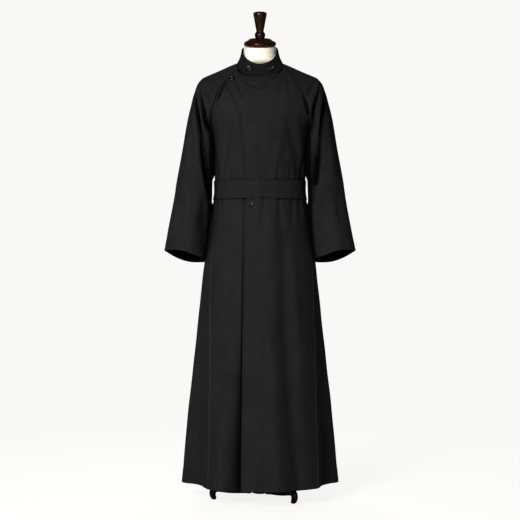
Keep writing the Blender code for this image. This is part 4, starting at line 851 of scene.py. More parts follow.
def build_cloth():
    """The whole surface before any fold: tube, fronts, back, sleeves and collar, welded together."""
    back, gore = fractions(BACK_COLS // 2, low_edge=False), fractions(GORE_COLS)
    left, right = fractions(LEFT_COLS), fractions(RIGHT_COLS, low_edge=False)
    beside_stitch = EDGE_STITCH / LAP_WIDE * np.array([0.82, 1, 1.18])
    lap = np.array(sorted(set(fractions(LAP_COLS, high_edge=False)) | set(beside_stitch)))
    parts = [back, gore, left, lap, right, gore, 1 - back[::-1]]
    stops = np.cumsum([0] + [len(p) - 1 for p in parts])
    start = len(left) + len(lap) - 2  # the front's column where the lower one ends
    z, tube = body_tube(parts)

    # Above the armhole, each panel starts from the tube's top row.
    at_front, at_lap = slice(stops[2], stops[5] + 1), slice(stops[3], stops[4] + 1)
    at_back = np.r_[stops[6] : stops[7] + 1, 1 : stops[1] + 1]
    t = np.linspace(0, 1, PANEL_ROWS)[1:]
    front = panel_point(RAGLAN_FRONT, -1, front_columns(t, [left, lap, right]), t[:, None])
    front = np.concatenate([tube[-1:, at_front], front])
    cut = int(np.argmin(abs(t - FLAP_TOP))) + 1
    flap = np.concatenate([tube[-1:, at_lap], flap_points(t[:cut], lap)])
    t = np.linspace(0, 1, REAR_ROWS)[1:]
    turn = tube[-1, at_back]
    bend = np.clip(turn[:, 0] / RAGLAN_BACK[0].x, -1, 1) * math.sin(SEAM_ANGLE)
    rear = panel_point(RAGLAN_BACK, 1, (np.arcsin(bend) / SEAM_ANGLE)[None, :], t[:, None])
    rear = np.concatenate([turn[None], rear])

    # The chest and the back are eased over the line where the panels start.
    flap = eased(tube[:, at_lap], flap)[1]
    tube[:, at_front], front = eased(tube[:, at_front], front)
    tube[:, at_back], rear = eased(tube[:, at_back], rear)
    tube[:, 0] = tube[:, -1]
    flap[0] = tube[-1, at_lap]
    flap[:, -1] = front[: cut + 1, start]
    cloth = Cloth()
    for name, grid in (("tube", tube), ("front", front), ("flap", flap), ("rear", rear)):
        cloth.add(name, grid)

    # Round each armhole: up the front seam, along the collar, down the back and underneath.
    neck = np.linspace(0, 1, NECK_COLS + 1)[1:-1]
    gore_left, gore_right = tube[-1, stops[5] : stops[6] + 1], tube[-1, stops[1] : stops[2] + 1]
    v = sleeve_rows()
    for side, name, seam, gore_top in ((1, SLEEVES[0], -1, gore_left[::-1]), (-1, SLEEVES[1], 0, gore_right)):
        down_back = rear[::-1, -1 - seam]
        loop = np.concatenate([front[:, seam], neck_side(side, neck), down_back, gore_top[1:]])
        cloth.add(name, sleeve_fan(side, loop, v))

    # The collar stands on the neck edge.
    foot = np.concatenate([front[-1], neck_side(1, neck), rear[-1], neck_side(-1, 1 - neck)])
    cloth.add("collar", collar_band(np.concatenate([foot[start:], foot[: start + 1]])))
    cloth.weld()
    cloth.base, cloth.faces = piece_faces(cloth.ids, stops, start)
    cloth.stops, cloth.cut, cloth.levels = stops, cut, z
    return cloth


def share_of_sleeve(cloth):
    """How far each point is out on a sleeve or up the collar, from 0 on the body's seams to 1."""
    share = np.zeros(len(cloth.points))
    for name in (*SLEEVES, "collar"):
        ids = cloth.ids[name]
        share[ids] = ramp(0.0, 0.03, from_edge(cloth.points, ids, axis=0))
    return share


def body_wall(tube, levels, side, y, z):
    """How far out the body's side is at each y and z, read from the rows of the tube."""
    row = np.clip(np.searchsorted(levels, z, side="right") - 1, 0, len(levels) - 2)
    share = np.clip((z - levels[row]) / (levels[row + 1] - levels[row]), 0, 1)
    wall = np.zeros(len(y))
    for k in np.unique(row):
        here = row == k
        for step, weight in ((0, 1 - share[here]), (1, share[here])):
            ring = tube[k + step]
            ring = ring[side * ring[:, 0] > 0.05]
            order = np.argsort(ring[:, 1])
            wall[here] += weight * np.interp(y[here], ring[order, 1], side * ring[order, 0])
    return wall


def close_sleeves(cloth, points):
    """Moves the hanging sleeves in to the body and lays their inner sides softly against it."""
    tube = points[cloth.ids["tube"]]
    for name, side in zip(SLEEVES, (1, -1)):
        rows = cloth.ids[name][1:]
        for row in rows:
            p = points[np.unique(row)]
            inner = p[(side * p[:, 0] < INNER_X) & (abs(p[:, 1]) < INNER_Y)]
            if len(inner) < 3:
                continue
            wall = body_wall(tube, cloth.levels, side, inner[:, 1], inner[:, 2])
            gap = (side * inner[:, 0] - wall).min()
            near_body = 1 - ramp(*SHIFT_FADE, side * p[:, 0])
            moved = min(max(gap - SLEEVE_CLEAR, 0), SLEEVE_SHIFT) * held_in(inner[:, 2].mean())
            points[np.unique(row), 0] -= side * moved * near_body
        ids = np.unique(rows)
        p = points[ids]
        wall = body_wall(tube, cloth.levels, side, p[:, 1], p[:, 2]) + SLEEVE_CLEAR
        d = side * p[:, 0] - wall
        where = held_in(p[:, 2]) * (1 - ramp(*HOLD_FADE, abs(p[:, 1])))
        held = where * np.where(d > 0, bell(d, SLEEVE_HOLD), 1.0)
        points[ids, 0] = side * (wall + d * (1 - held))
    return points


def held_in(z):
    """How fully the sleeves touch the body at a height: not at the armpit nor beside the belt."""
    low, low_end, high, high_end = BELT_FREE
    return ramp(high, high_end, z) * (1 - ramp(*ARMPIT_FREE, z)) + 1 - ramp(low, low_end, z)


def seam_distance(cloth, points):
    """How far each point is from the nearest seam."""
    seam = seam_points(cloth)
    lines = KDTree(len(seam))
    for k, i in enumerate(seam):
        lines.insert(Vector(points[i]), k)
    lines.balance()
    return np.array([lines.find(Vector(p))[2] for p in points])


def seam_relief(points, away, pressed_out):
    """How far the seams stand in or out, with the turnings showing softly beside them."""
    turning = TURNING_HIGH * bell(away - TURNING_AT, TURNING_WIDE)
    slow = 2 * np.sin(points @ np.array([60.0, 90.0, 75.0]))
    ripple = np.sin(points @ np.array([310.0, 150.0, 420.0]) + slow)
    groove = turning - SEAM_DEEP * bell(away, SEAM_WIDE) + PUCKER_HIGH * ripple * bell(away, PUCKER_WIDE)
    return np.where(pressed_out, RIDGE_HIGH * bell(away, RIDGE_WIDE) - turning, groove)


def draw_in(cloth, share, way, valley):
    """Draws the lower front in behind the edge of the wrapping one, and marks the painted shadow beside that
    edge.
    """
    points, top = cloth.straight, LAP_EDGE[0].z
    z = points[:, 2]
    beside = read(LAP_EDGE, "x", np.clip(z, HEM_Z, top)) - points[:, 0] - EDGE_ROUND
    in_front = (points[:, 1] < 0) * (1 - share) * (1 - ramp(top - 0.02, top, z))
    drawn_in = 1 - TROUGH_CLOSED * ramp(TROUGH_FULL, BELT_LOW, z)
    shadow = TROUGH_WIDE + SHADOW_WIDE * (1 - ramp(HEM_Z, SHADOW_TOP, z))
    cloth.beside_edge = bell(beside, np.where(beside > 0, shadow, TROUGH_WIDE)) * in_front * drawn_in
    trough = bell(beside, TROUGH_WIDE) * in_front * (TROUGH_DEEP * drawn_in)
    return points + way * (valley - trough)[:, None]


def shape_cloth(cloth):
    """Presses the folds and seams into the surface, lays the flap's corner on the sleeve, and works out the
    painted light and shade of the cloth's colour.
    """
    every = np.concatenate([cloth.base, quads(cloth.ids["flap"])])
    points, share = cloth.points, share_of_sleeve(cloth)
    in_collar = np.zeros(len(points), bool)
    in_collar[cloth.ids["collar"][1:]] = True
    way = normals = grid_normals(points, every)
    valley = pressed(points, normals, UNDER_VALLEY) * (1 - share)
    # Painted shade at the bottoms of the deep sleeve folds.
    dark = darkness(points, normals, SLEEVE_FOLDS)
    for on_body, on_sleeve, lips in ((FOLDS, SLEEVE_FOLDS, 0.0), (CREASES, SLEEVE_CREASES, CREASE_LIPS)):
        body = pressed(points, normals, on_body, lips) * (1 - share)
        sleeve = pressed(points, normals, on_sleeve, lips) * share
        points = points + normals * np.where(in_collar, body, body + sleeve)[:, None]
        normals = grid_normals(points, every)
        if on_body is FOLDS:
            cloth.plain = points
    points = points + normals * (unevenness(points) * np.where(in_collar, 0.4, 1.0))[:, None]

    points = close_sleeves(cloth, points)
    normals = grid_normals(points, every)
    # Painted shade in the bands where the sleeves turn in against the body, kept to the sleeves.
    dark = np.maximum(dark, darkness(points, normals, SLEEVE_SHADOWS))
    dark = dark * np.where(in_collar, 0, np.minimum(1, 3 * share))

    # The flap's corner lies on the sleeve under it.
    tree = BVHTree.FromPolygons(points.tolist(), cloth.base.tolist())
    for i in np.unique(cloth.ids["flap"][cloth.cut - CORNER_ROWS :, :-1]):
        if points[i, 0] < CORNER_X:
            points[i] = tree.find_nearest(Vector(points[i]))[0]
    normals = grid_normals(points, every)

    # Seams are pressed in, but out down the front of the skirt. Painted highlight lies along those
    # pressed-out seams, and painted shade in the grooves of the others.
    away = seam_distance(cloth, points)
    in_tube = np.isin(np.arange(len(points)), cloth.ids["tube"])
    pressed_out = in_tube & (points[:, 2] < BELT_LOW) & (points[:, 1] < 0)
    points = points + normals * seam_relief(points, away, pressed_out)[:, None]
    # Painted highlight along the pressed-out seams, fading out up where the sleeves shade the skirt.
    rubbed = SEAM_HIGHLIGHT_PAINT * (1 - ramp(*SEAM_HIGHLIGHT_FADE, points[:, 2])) * bell(away, SEAM_HIGHLIGHT_WIDE)
    # Painted shade in the grooves of the other seams.
    rub = np.where(pressed_out, rubbed, SEAM_PAINTED_SHADE * bell(away, DARK_WIDE))
    # All painted light in the cloth's colour, with the painted shade of the deep folds on top.
    cloth.rub = (1 + rub) * (1 - FOLD_PAINTED_SHADE * dark) - 1
    cloth.straight, cloth.straight_normals = points, grid_normals(points, every)
    cloth.points = draw_in(cloth, share, way, valley)
    cloth.normals = grid_normals(cloth.points, every)


def seam_points(cloth):
    """The points where two pieces are sewn together."""
    edges = [set(np.unique(border(f)[0]).tolist()) for f in cloth.faces.values()]
    seen, shared = set(), set()
    for points in edges:
        shared |= seen & points
        seen |= points
    loose = set(np.unique(border(cloth.base)[0]).tolist()) | set(cloth.ids["flap"][:, 0].tolist())
    return np.array(sorted(shared - loose))


# ---------------------------------------------------------------- pieces with a thickness
def mesh_object(name, points, polygons):
    """A smooth mesh object from points and a list of arrays of faces."""
    mesh = bpy.data.meshes.new(name)
    sizes = np.concatenate([np.full(len(p), p.shape[1]) for p in polygons])
    corners = np.concatenate([p.reshape(-1) for p in polygons])
    mesh.vertices.add(len(points))
    mesh.vertices.foreach_set("co", np.asarray(points, np.float32).reshape(-1))
    mesh.loops.add(len(corners))
    mesh.loops.foreach_set("vertex_index", corners.astype(np.int32))
    mesh.polygons.add(len(sizes))
    mesh.polygons.foreach_set("loop_start", np.concatenate([[0], np.cumsum(sizes)[:-1]]).astype(np.int32))
    mesh.polygons.foreach_set("use_smooth", np.ones(len(sizes), bool))
    mesh.update(calc_edges=True)
    mesh.validate()
    ob = bpy.data.objects.new(name, mesh)
    bpy.context.scene.collection.objects.link(ob)
    return ob


def dress(ob, finish, slot, *nodes):
    """Gives a piece its material, hangs it on the root body, and hides the parts of the model that it stands
    in for.
    """
    ob.data.materials.append(finish)
    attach(ob, "root")
    if nodes:
        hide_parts(*nodes)
    return ob


def set_rub(ob, values):
    """Keeps with a mesh a value for each point: painted light and shade on the cloth, and how much duller a
    button is.
    """
    ob.data.attributes.new("rub", "FLOAT", "POINT").data.foreach_set("value", values.astype(np.float32))


def shell_object(name, outer, normals, faces, thick, sewn, rub, under=()):
    """A closed shell from its outside. Sewn edges stand half a gap back; loose ones are rounded.

    Along a seam the middle of one rim steps out under its neighbour, whose own steps back, so that
    no light is seen through. under holds the edges where this piece's rim steps out.

    The values given for each point are kept with the mesh for its material as painted light: above 0 a
    painted highlight, below 0 painted shade. The inside of the shell gets painted shade, and the middle of
    its rims half of it.
    """
    used, new = np.unique(faces, return_inverse=True)
    faces = new.reshape(faces.shape)
    p, n, t = outer[used], normals[used], thick[used][:, None]
    edges, _ = border(faces)
    keys = edge_keys(used[edges])
    joined = np.isin(keys, sewn)
    inward = unit(np.cross(n[edges[:, 0]] + n[edges[:, 1]], p[edges[:, 1]] - p[edges[:, 0]]))
    pull, round_out, step = np.zeros_like(p), np.zeros_like(p), np.zeros_like(p)
    stepped = inward * np.where(np.isin(keys, under), -1.0, 1.0)[:, None]
    for ends in (0, 1):
        np.add.at(pull, edges[joined, ends], inward[joined])
        np.add.at(step, edges[joined, ends], stepped[joined])
        np.add.at(round_out, edges[~joined, ends], -inward[~joined])
    p = p + unit(pull) * (np.linalg.norm(pull, axis=1, keepdims=True) > 1e-9) * GAP / 2
    count = len(p)
    step = unit(step) * (np.linalg.norm(step, axis=1, keepdims=True) > 1e-9) * SEAM_STEP
    middle = p - n * t / 2 + unit(round_out) * t * FREE_ROUND + step
    points = np.concatenate([p, p - n * t, middle])
    a, b = edges[:, 0], edges[:, 1]
    rims = [
        np.stack([b, a, a + 2 * count, b + 2 * count], axis=1),
        np.stack([b + 2 * count, a + 2 * count, a + count, b + count], axis=1),
    ]
    keep = np.unique(np.concatenate([np.arange(2 * count), edges.reshape(-1) + 2 * count]))
    place = np.zeros(3 * count, np.int64)
    place[keep] = np.arange(len(keep))
    solid = [place[faces], place[faces[:, ::-1] + count]] + [place[r] for r in rims]
    ob = mesh_object(name, points[keep], solid)
    r = rub[used]
    # The inside of the shell and the middle of its rims get painted shade.
    values = np.concatenate([r, np.full(count, INSIDE_PAINTED_SHADE), (r + INSIDE_PAINTED_SHADE) / 2])[keep]
    set_rub(ob, values)
    return ob


def sewn_edges(cloth):
    """The edges that two pieces share."""
    keys = np.concatenate([border(f)[1] for f in cloth.faces.values()])
    found, count = np.unique(keys, return_counts=True)
    return found[count > 1]


def under_edges(cloth, sewn):
    """For each piece, the sewn edges where its rim steps out under the neighbour's."""
    taken, under = np.array([], np.int64), {}
    for name, faces in cloth.faces.items():
        keys = np.intersect1d(border(faces)[1], sewn)
        under[name] = np.setdiff1d(keys, taken)
        taken = np.union1d(taken, keys)
    return under


def from_edge(points, ids, axis=1):
    """Distance of each point of a grid from its first column, or row, along the grid."""
    p = points[ids]
    steps = np.linalg.norm(np.diff(p, axis=axis), axis=2)
    start = np.zeros_like(steps[:, :1] if axis else steps[:1])
    return np.cumsum(np.concatenate([start, steps], axis=axis), axis=axis)


def turned_edge(d, stitch):
    """The step and the dimple of a turned edge that is stitched down at this distance."""
    return EDGE_STEP * (1 - ramp(stitch, stitch + 0.004, d)) - EDGE_STEP * bell(d - stitch, DIMPLE_WIDE)


def line_across(p, n, d, at):
    """The line at one distance along a grid: a point and its normal in every row."""
    points, normals = [], []
    for row in range(len(d)):
        points.append([np.interp(at, d[row], p[row][:, c]) for c in range(3)])
        normals.append([np.interp(at, d[row], n[row][:, c]) for c in range(3)])
    return np.array(points), unit(np.array(normals))


def spindle_faces():
    """The faces of one stitch: a point, three rings of four and another point."""
    faces = []
    for k in range(4):
        m = (k + 1) % 4
        faces.append((0, 0, 1 + m, 1 + k))
        faces += [(a + k, a + m, a + 4 + m, a + 4 + k) for a in (1, 5)]
        faces.append((9 + k, 9 + m, 13, 13))
    return np.array(faces)


def stitch_rows(name, lines, finish):
    """Rows of single thread stitches, each a slim spindle half sunk in the cloth."""
    points, faces, count = [], [], 0
    for line, normals in lines:
        run = np.concatenate([[0], np.cumsum(np.linalg.norm(np.diff(line, axis=0), axis=1))])
        at = np.arange(STITCH_STEP, run[-1] - STITCH_STEP / 2, STITCH_STEP)
        centre = np.stack([np.interp(at, run, line[:, c]) for c in range(3)], axis=1)
        n = unit(np.stack([np.interp(at, run, normals[:, c]) for c in range(3)], axis=1))
        ahead = np.stack([np.interp(at + 0.001, run, line[:, c]) for c in range(3)], axis=1)
        way = unit(ahead - centre)
        side = np.cross(n, way)
        body = [centre - way * STITCH / 2 - n * THREAD * 0.4]
        for f, r in ((-0.36, 0.8), (0.0, 1.0), (0.36, 0.8)):
            for c, s in ((1, 0), (0, 1), (-1, 0), (0, -0.6)):
                body.append(centre + way * STITCH * f + (side * c + n * s) * THREAD * r + n * THREAD * 0.35)
        body.append(centre + way * STITCH / 2 - n * THREAD * 0.4)
        start = count + np.arange(len(at))[:, None, None] * len(body)
        faces.append((start + spindle_faces()).reshape(-1, 4))
        points.append(np.stack(body, axis=1).reshape(-1, 3))
        count += len(points[-1])
    faces = np.concatenate(faces)
    pointed = faces[:, 0] == faces[:, 1]
    blunt = faces[:, 2] == faces[:, 3]
    polygons = [faces[pointed][:, 1:], faces[blunt][:, :3], faces[~pointed & ~blunt]]
    return dress(mesh_object(name, np.concatenate(points), polygons), finish, "twill")


def hem_relief(cloth):
    """How far the turned-up hem and cuffs stand out, and how thick the cloth is there."""
    p, tube = cloth.points, cloth.ids["tube"]
    relief, thick = np.zeros(len(p)), np.full(len(p), CLOTH)
    edges = [(tube, p[tube][..., 2] - HEM_Z, HEM_DEEP)]
    for name in SLEEVES:
        fan = cloth.ids[name][::-1]
        edges.append((fan, from_edge(p, fan, axis=0), CUFF_DEEP))
    for grid, far, deep in edges:
        relief[grid] += turned_edge(far, deep)
        thick[grid] += TURNED_UP * (1 - ramp(deep - 0.002, deep + 0.001, far))
    return relief, thick


def lap_relief(cloth, strip):
    """How far the wrapping front lies out, the relief of its edge, and the way in from that edge."""
    p, top = cloth.points, cloth.ids["flap"][::-1]
    lift = LIFT * (1 - ramp(0.0, 0.05, np.maximum(p[:, 0] - UNDER_EDGE, 0.0)))
    edge = np.full(len(p), 1.0)
    edge[strip] = from_edge(cloth.straight, strip)
    edge[top] = np.minimum(edge[top], from_edge(p, top, axis=0))
    return lift, np.where(edge < 0.5, turned_edge(edge, EDGE_STITCH), 0.0), edge


def stitch_garment(cloth, outsides, strip, thread):
    """Rows of stitches: down the wrapping front's edge, round the cuffs and round the hem."""
    p, n = cloth.points, cloth.normals
    rows = [line_across(
        outsides["front_overlap"][strip], cloth.straight_normals[strip],
        from_edge(cloth.straight, strip), EDGE_STITCH,
    )]
    for name in SLEEVES:
        fan = cloth.ids[name][::-1].T
        rows.append(line_across(outsides[name][fan], n[fan], from_edge(p, fan), CUFF_DEEP))
    stitch_rows("edge_stitches", rows, thread)
    hems = []
    for first, last, name in HEM_PARTS:
        part = cloth.ids["tube"][:, cloth.stops[first] : cloth.stops[last] + 1].T
        way = cloth.straight_normals if name == "front_overlap" else n
        hems.append(line_across(outsides[name][part], way[part], p[part][..., 2] - HEM_Z, HEM_DEEP))
    stitch_rows("hem_stitches", hems, thread)


def make_garment(cloth, looks):
    """The sewn pieces of cloth, and the stitches along their edges and hems."""
    sewn = sewn_edges(cloth)
    under = under_edges(cloth, sewn)
    relief, thick = hem_relief(cloth)
    at_lap = slice(cloth.stops[3], cloth.stops[4] + 1)
    strip = np.concatenate([cloth.ids["tube"][:-1, at_lap], cloth.ids["flap"]])
    lift, turned, edge = lap_relief(cloth, strip)
    outsides = {}
    for name, faces in cloth.faces.items():
        wall, out, at, n, rub = thick, relief, cloth.points, cloth.normals, cloth.rub
        # Painted shadow on the lower front beside the edge of the wrapping one.
        if name == "front_underlap":
            rub = rub + EDGE_PAINTED_SHADOW * cloth.beside_edge
        if name == "front_overlap":
            at, n = cloth.straight, cloth.straight_normals
            out = relief + lift + turned
            wall = thick + EDGE_STEP * (1 - ramp(EDGE_STITCH, EDGE_STITCH + 0.002, edge))
        if name == "collar":
            wall, out = np.full(len(at), STIFF), np.zeros(len(at))
        outer = at + n * out[:, None]
        outsides[name] = outer
        if name == "collar":
            outer, faces, more = open_slit(outer, faces, cloth.ids["collar"][:, 0])
            wall, rub, n = (np.concatenate([q, q[more]]) for q in (wall, rub, n))
        ob = shell_object(name + "_cloth", outer, n, faces, wall, sewn, rub, under[name])
        # The collar's darker copy of the twill is painted shade.
        dress(ob, looks["collar_painted_shade_twill" if name == "collar" else "twill"], "twill", name)
    stitch_garment(cloth, outsides, strip, looks["thread"])
    return outsides


def open_slit(points, faces, slit):
    """Doubles the points along the slit, so that the piece is open there."""
    extra = {int(s): len(points) + k for k, s in enumerate(slit)}
    centre = points[faces].mean(axis=1)
    middle = points[slit[0], 0]
    turn = (centre[:, 0] < middle) & (centre[:, 1] < 0)
    faces = faces.copy()
    for s, new in extra.items():
        faces[turn[:, None] & (faces == s)] = new
    return np.concatenate([points, points[slit]]), faces, slit


def make_cincture(cloth, looks):
    """The sash round the waist, over every layer there."""
    z, plain = cloth.levels, cloth.plain[cloth.ids["tube"]]
    rows = BELT_LOW + (BELT_TOP - BELT_LOW) * np.array(BELT_ROWS)
    low = np.clip(np.searchsorted(z, rows, side="right") - 1, 0, len(z) - 2)
    f = ((rows - z[low]) / (z[low + 1] - z[low]))[:, None, None]
    grid = plain[low] * (1 - f) + plain[low + 1] * f
    grid[:, -1] = grid[:, 0]
    flat = grid.reshape(-1, 3)
    ring = np.arange(len(flat)).reshape(grid.shape[:2])
    ring[:, -1] = ring[:, 0]
    faces = quads(ring)
    n = grid_normals(flat, faces)
    x, y, height = flat.T
    over_lap = ramp(*BELT_RISE, x) * (1 - ramp(UNDER_EDGE, UNDER_EDGE + 0.06, x)) * (y < 0)
    out = GAP + STIFF + LIFT * over_lap + BELT_AWAY
    out += turned_edge(np.minimum(height - BELT_LOW, BELT_TOP - height), BELT_STITCH)
    out += BELT_WAVE * np.sin(x * 38 + height * 55) * np.sin(y * 30 + 1.0 + height * 20)
    outer = flat + n * out[:, None]
    ob = shell_object(
        "cincture_cloth", outer, n, faces, np.full(len(flat), STIFF), np.array([]), np.zeros(len(flat))
    )
    dress(ob, looks["twill"], "twill", "cincture")
    part, lines = ring.T, []
    for at in (BELT_LOW + BELT_STITCH, BELT_TOP - BELT_STITCH):
        lines.append(line_across(outer[part], n[part], height[part], at))
    stitch_rows("cincture_stitches", lines, looks["thread"])


# ---------------------------------------------------------------- turned and swept pieces
def rings(count, around, base=0):
    """The numbers of points in rings, each ending with its first one again."""
    ids = base + np.arange(count * around).reshape(count, around)
    return np.concatenate([ids, ids[:, :1]], axis=1)


def turned_object(name, profile, segments, centre, axis):
    """A turned solid from (height, radius) rows, low to high, standing on centre along axis."""
    axis, centre = unit(np.array(axis, float)), np.array(centre)
    side = unit(np.cross(axis, (0, 1, 0) if abs(axis[1]) < 0.9 else (1, 0, 0)))
    third = np.cross(axis, side)
    a = np.linspace(0, 2 * math.pi, segments, endpoint=False)
    spokes = np.cos(a)[:, None] * side + np.sin(a)[:, None] * third
    h, r = np.array(profile).T
    points = centre + h[:, None, None] * axis + r[:, None, None] * spokes[None]
    ring = rings(len(h), segments)
    flat = np.concatenate([points.reshape(-1, 3), [centre + h[0] * axis, centre + h[-1] * axis]])
    low, high = len(flat) - 2, len(flat) - 1
    caps = np.concatenate([
        np.stack([ring[0, 1:], ring[0, :-1], np.full(segments, low)], axis=1),
        np.stack([ring[-1, :-1], ring[-1, 1:], np.full(segments, high)], axis=1),
    ])
    return mesh_object(name, flat, [quads(ring), caps])


def smooth_rows(rows, steps):
    """Every column of a table of rows, joined by a smooth curve."""
    rows = np.array(rows, float)
    out = [rows[0]]
    for i in range(len(rows) - 1):
        a, b = rows[i], rows[i + 1]
        before = rows[i - 1] if i else 2 * a - b
        after = rows[i + 2] if i + 2 < len(rows) else 2 * b - a
        for s in np.linspace(0, 1, steps + 1)[1:]:
            out.append(0.5 * (
                2 * a + (b - before) * s + (2 * before - 5 * a + 4 * b - after) * s**2
                + (3 * a - before - 3 * b + after) * s**3
            ))
    return np.array(out)


def rounded(profile, steps):
    """A turned profile with its rows joined by a smooth curve."""
    return [(float(h), max(float(r), 0.0004)) for h, r in smooth_rows(profile, steps)]


def make_button(name, node, outside, faces, x, z, looks):
    """A glossy button: a bold rolled rim, a dished middle and four sewn holes."""
    tree = BVHTree.FromPolygons(outside.tolist(), faces.tolist())
    hit, normal, _, _ = tree.ray_cast(Vector((x, -1.0, z)), Vector((0, 1, 0)))
    axis = np.array(normal) * (1 if normal[1] < 0 else -1)
    centre = np.array(hit) + axis * 0.0006
    r, h = BUTTON_R, BUTTON_H
    profile = rounded([
        (0.0, 0.60 * r), (0.10 * h, 0.84 * r), (0.42 * h, 0.995 * r),
        (0.74 * h, 0.985 * r), (0.96 * h, 0.90 * r), (1.00 * h, 0.80 * r),
        (0.90 * h, 0.69 * r), (0.66 * h, 0.60 * r), (0.58 * h, 0.46 * r),
    ], 5)
    dish = [(0.575 * h, f * r) for f in (0.42, 0.38, 0.34, 0.30, 0.26, 0.22, 0.18, 0.14, 0.10, 0.06, 0.02)]
    ob = turned_object(name, profile + dish, 72, centre, axis)
    side = unit(np.cross(axis, (0, 0, 1)))
    up = np.cross(side, axis)
    co = np.array([v.co[:] for v in ob.data.vertices])
    across, rise, out = (co - centre) @ side, (co - centre) @ up, (co - centre) @ axis
    sink = np.zeros(len(co))
    for sx in (-1, 1):
        for sz in (-1, 1):
            d = np.hypot(across - sx * HOLE_AT * r, rise - sz * HOLE_AT * r)
            sink += (1 - ramp(HOLE_LOW * r, HOLE_HIGH * r, d)) * HOLE_DEEP
    sink[out < 0.5 * h] = 0.0
    set_rub(ob, 0.5 * (1 - ramp(0.44 * r, 0.56 * r, np.hypot(across, rise))))
    co -= sink[:, None] * axis
    ob.data.vertices.foreach_set("co", co.astype(np.float32).reshape(-1))
    ob.data.update()
    dress(ob, looks["button"], "button", node)
    lines, s = [], np.linspace(0, 1, 9)[:, None]
    for sx in (-1, 1):
        middle = centre + axis * 0.60 * h + side * sx * HOLE_AT * r
        a, b = middle - up * HOLE_AT * r, middle + up * HOLE_AT * r
        line = a * (1 - s) + b * s + axis * 0.0005 * np.sin(math.pi * s)
        lines.append((line, np.repeat(axis[None], 9, axis=0)))
    tube_object(name + "_thread", lines, BUTTON_THREAD, looks["thread"], "twill")


def tube_object(name, lines, radius, finish, slot):
    """Round cords along lines of points, closed at both ends."""
    points, faces, caps, base = [], [], [], 0
    for line, normals in lines:
        way = unit(np.gradient(line, axis=0))
        side = unit(np.cross(way, normals))
        out = np.cross(side, way)
        a = np.linspace(0, 2 * math.pi, 8, endpoint=False)
        c, s = np.cos(a)[None, :, None], np.sin(a)[None, :, None]
        ring = line[:, None] + radius * (c * side[:, None] + s * out[:, None])
        ids = rings(len(line), 8, base)
        faces.append(quads(ids, flip=True))
        caps += [ids[:1, :8], ids[-1:, :8][:, ::-1]]
        points.append(ring.reshape(-1, 3))
        base += len(line) * 8
    ob = mesh_object(name, np.concatenate(points), faces + caps)
    return dress(ob, finish, slot)


def make_form(looks):
    """The jersey torso and neck, smooth and whole."""
    low, bevel, top = FORM[0].z, FORM[1].z, FORM[-1].z
    z = np.concatenate([np.linspace(low, bevel, 6), np.linspace(bevel, top, 150)[1:]])
    side, front, back = (read(FORM, c, z) for c in ("side", "front", "back"))
    a = np.linspace(0, 2 * math.pi, 120, endpoint=False)
    c, s = np.cos(a), np.sin(a)
    y = -s[None] * np.where(s[None] > 0, front[:, None], back[:, None])
    x = side[:, None] * c[None]
    tilt = ramp(1.53, top, z)[:, None]
    zz = z[:, None] + y * math.tan(CAP_TILT) * tilt
    points = np.stack([x, y, zz], axis=-1)
    ring = rings(len(z), len(a))
    flat = np.concatenate([points.reshape(-1, 3), [points[0].mean(0), points[-1].mean(0)]])
    caps = np.concatenate([
        np.stack([ring[0, :-1], ring[0, 1:], np.full(len(a), len(flat) - 2)], axis=1),
        np.stack([ring[-1, 1:], ring[-1, :-1], np.full(len(a), len(flat) - 1)], axis=1),
    ])
    ob = mesh_object("form_jersey", flat, [quads(ring, flip=True), caps])
    dress(ob, looks["jersey"], "jersey", "form_torso")


def make_turnings(looks):
    """The neck cap, its knob, the hub and the pole."""

    def turn(name, profile, segments, foot, axis, node):
        dress(turned_object(name, profile, segments, foot, axis), looks["wood"], "wood", node)

    up, axis = (0, 0, 1), np.array((0, -math.sin(CAP_TILT), math.cos(CAP_TILT)))
    foot = np.array([0, 0, NECK_PIVOT_Z]) + axis * GAP
    cap = [
        (0.0, 0.0470), (0.0008, 0.0492), (0.0028, 0.0522), (0.0050, 0.0544), (0.0075, 0.0555),
        (0.0105, 0.0557), (0.0130, 0.0555), (0.0152, 0.0543), (0.0180, 0.0505), (0.0205, 0.0457),
        (0.0228, 0.0412), (0.0252, 0.0390), (0.0272, 0.0355), (0.0288, 0.0285), (0.0300, 0.0170),
    ]
    turn("cap_turning", rounded(cap, 4), 96, foot, axis, "neck_cap")
    knob = [
        (0.0, 0.0150), (0.003, 0.0166), (0.010, 0.0180), (0.015, 0.0175), (0.0195, 0.0148),
        (0.0225, 0.0126), (0.026, 0.0127), (0.040, 0.0155), (0.060, 0.0192), (0.080, 0.0230),
        (0.0846, 0.0231), (0.0872, 0.0219), (0.0895, 0.0175), (0.0908, 0.0110), (0.0912, 0.0060),
    ]
    turn("knob_turning", rounded(knob, 5), 72, foot + axis * (0.0300 + GAP), axis, "finial")
    hub_top, hub_low, hub_r = 0.150, 0.015, 0.034
    hub = [
        (hub_low, 0.022), (hub_low + 0.002, 0.028), (hub_low + 0.007, hub_r - 0.001),
        (hub_low + 0.012, hub_r), (0.066, hub_r), (0.080, hub_r), (0.086, 0.0320), (0.091, 0.026),
        (0.100, 0.0228), (0.112, 0.022), (0.118, 0.0255), (0.124, 0.029), (0.130, 0.0300),
        (0.136, 0.029), (0.143, 0.021), (hub_top, 0.018),
    ]
    turn("hub_turning", rounded(hub, 4), 72, (0, 0, 0), up, "tripod_hub")
    height = FORM[0].z - GAP - hub_top - GAP
    rod = [
        (0.0, 0.0105), (0.0012, 0.0122), (0.003, 0.0125), (0.25, 0.0125), (0.50, 0.0125),
        (height - 0.003, 0.0125), (height - 0.0012, 0.0122), (height, 0.0105),
    ]
    turn("pole_turning", rod, 48, (0, 0, hub_top + GAP), up, "pole")


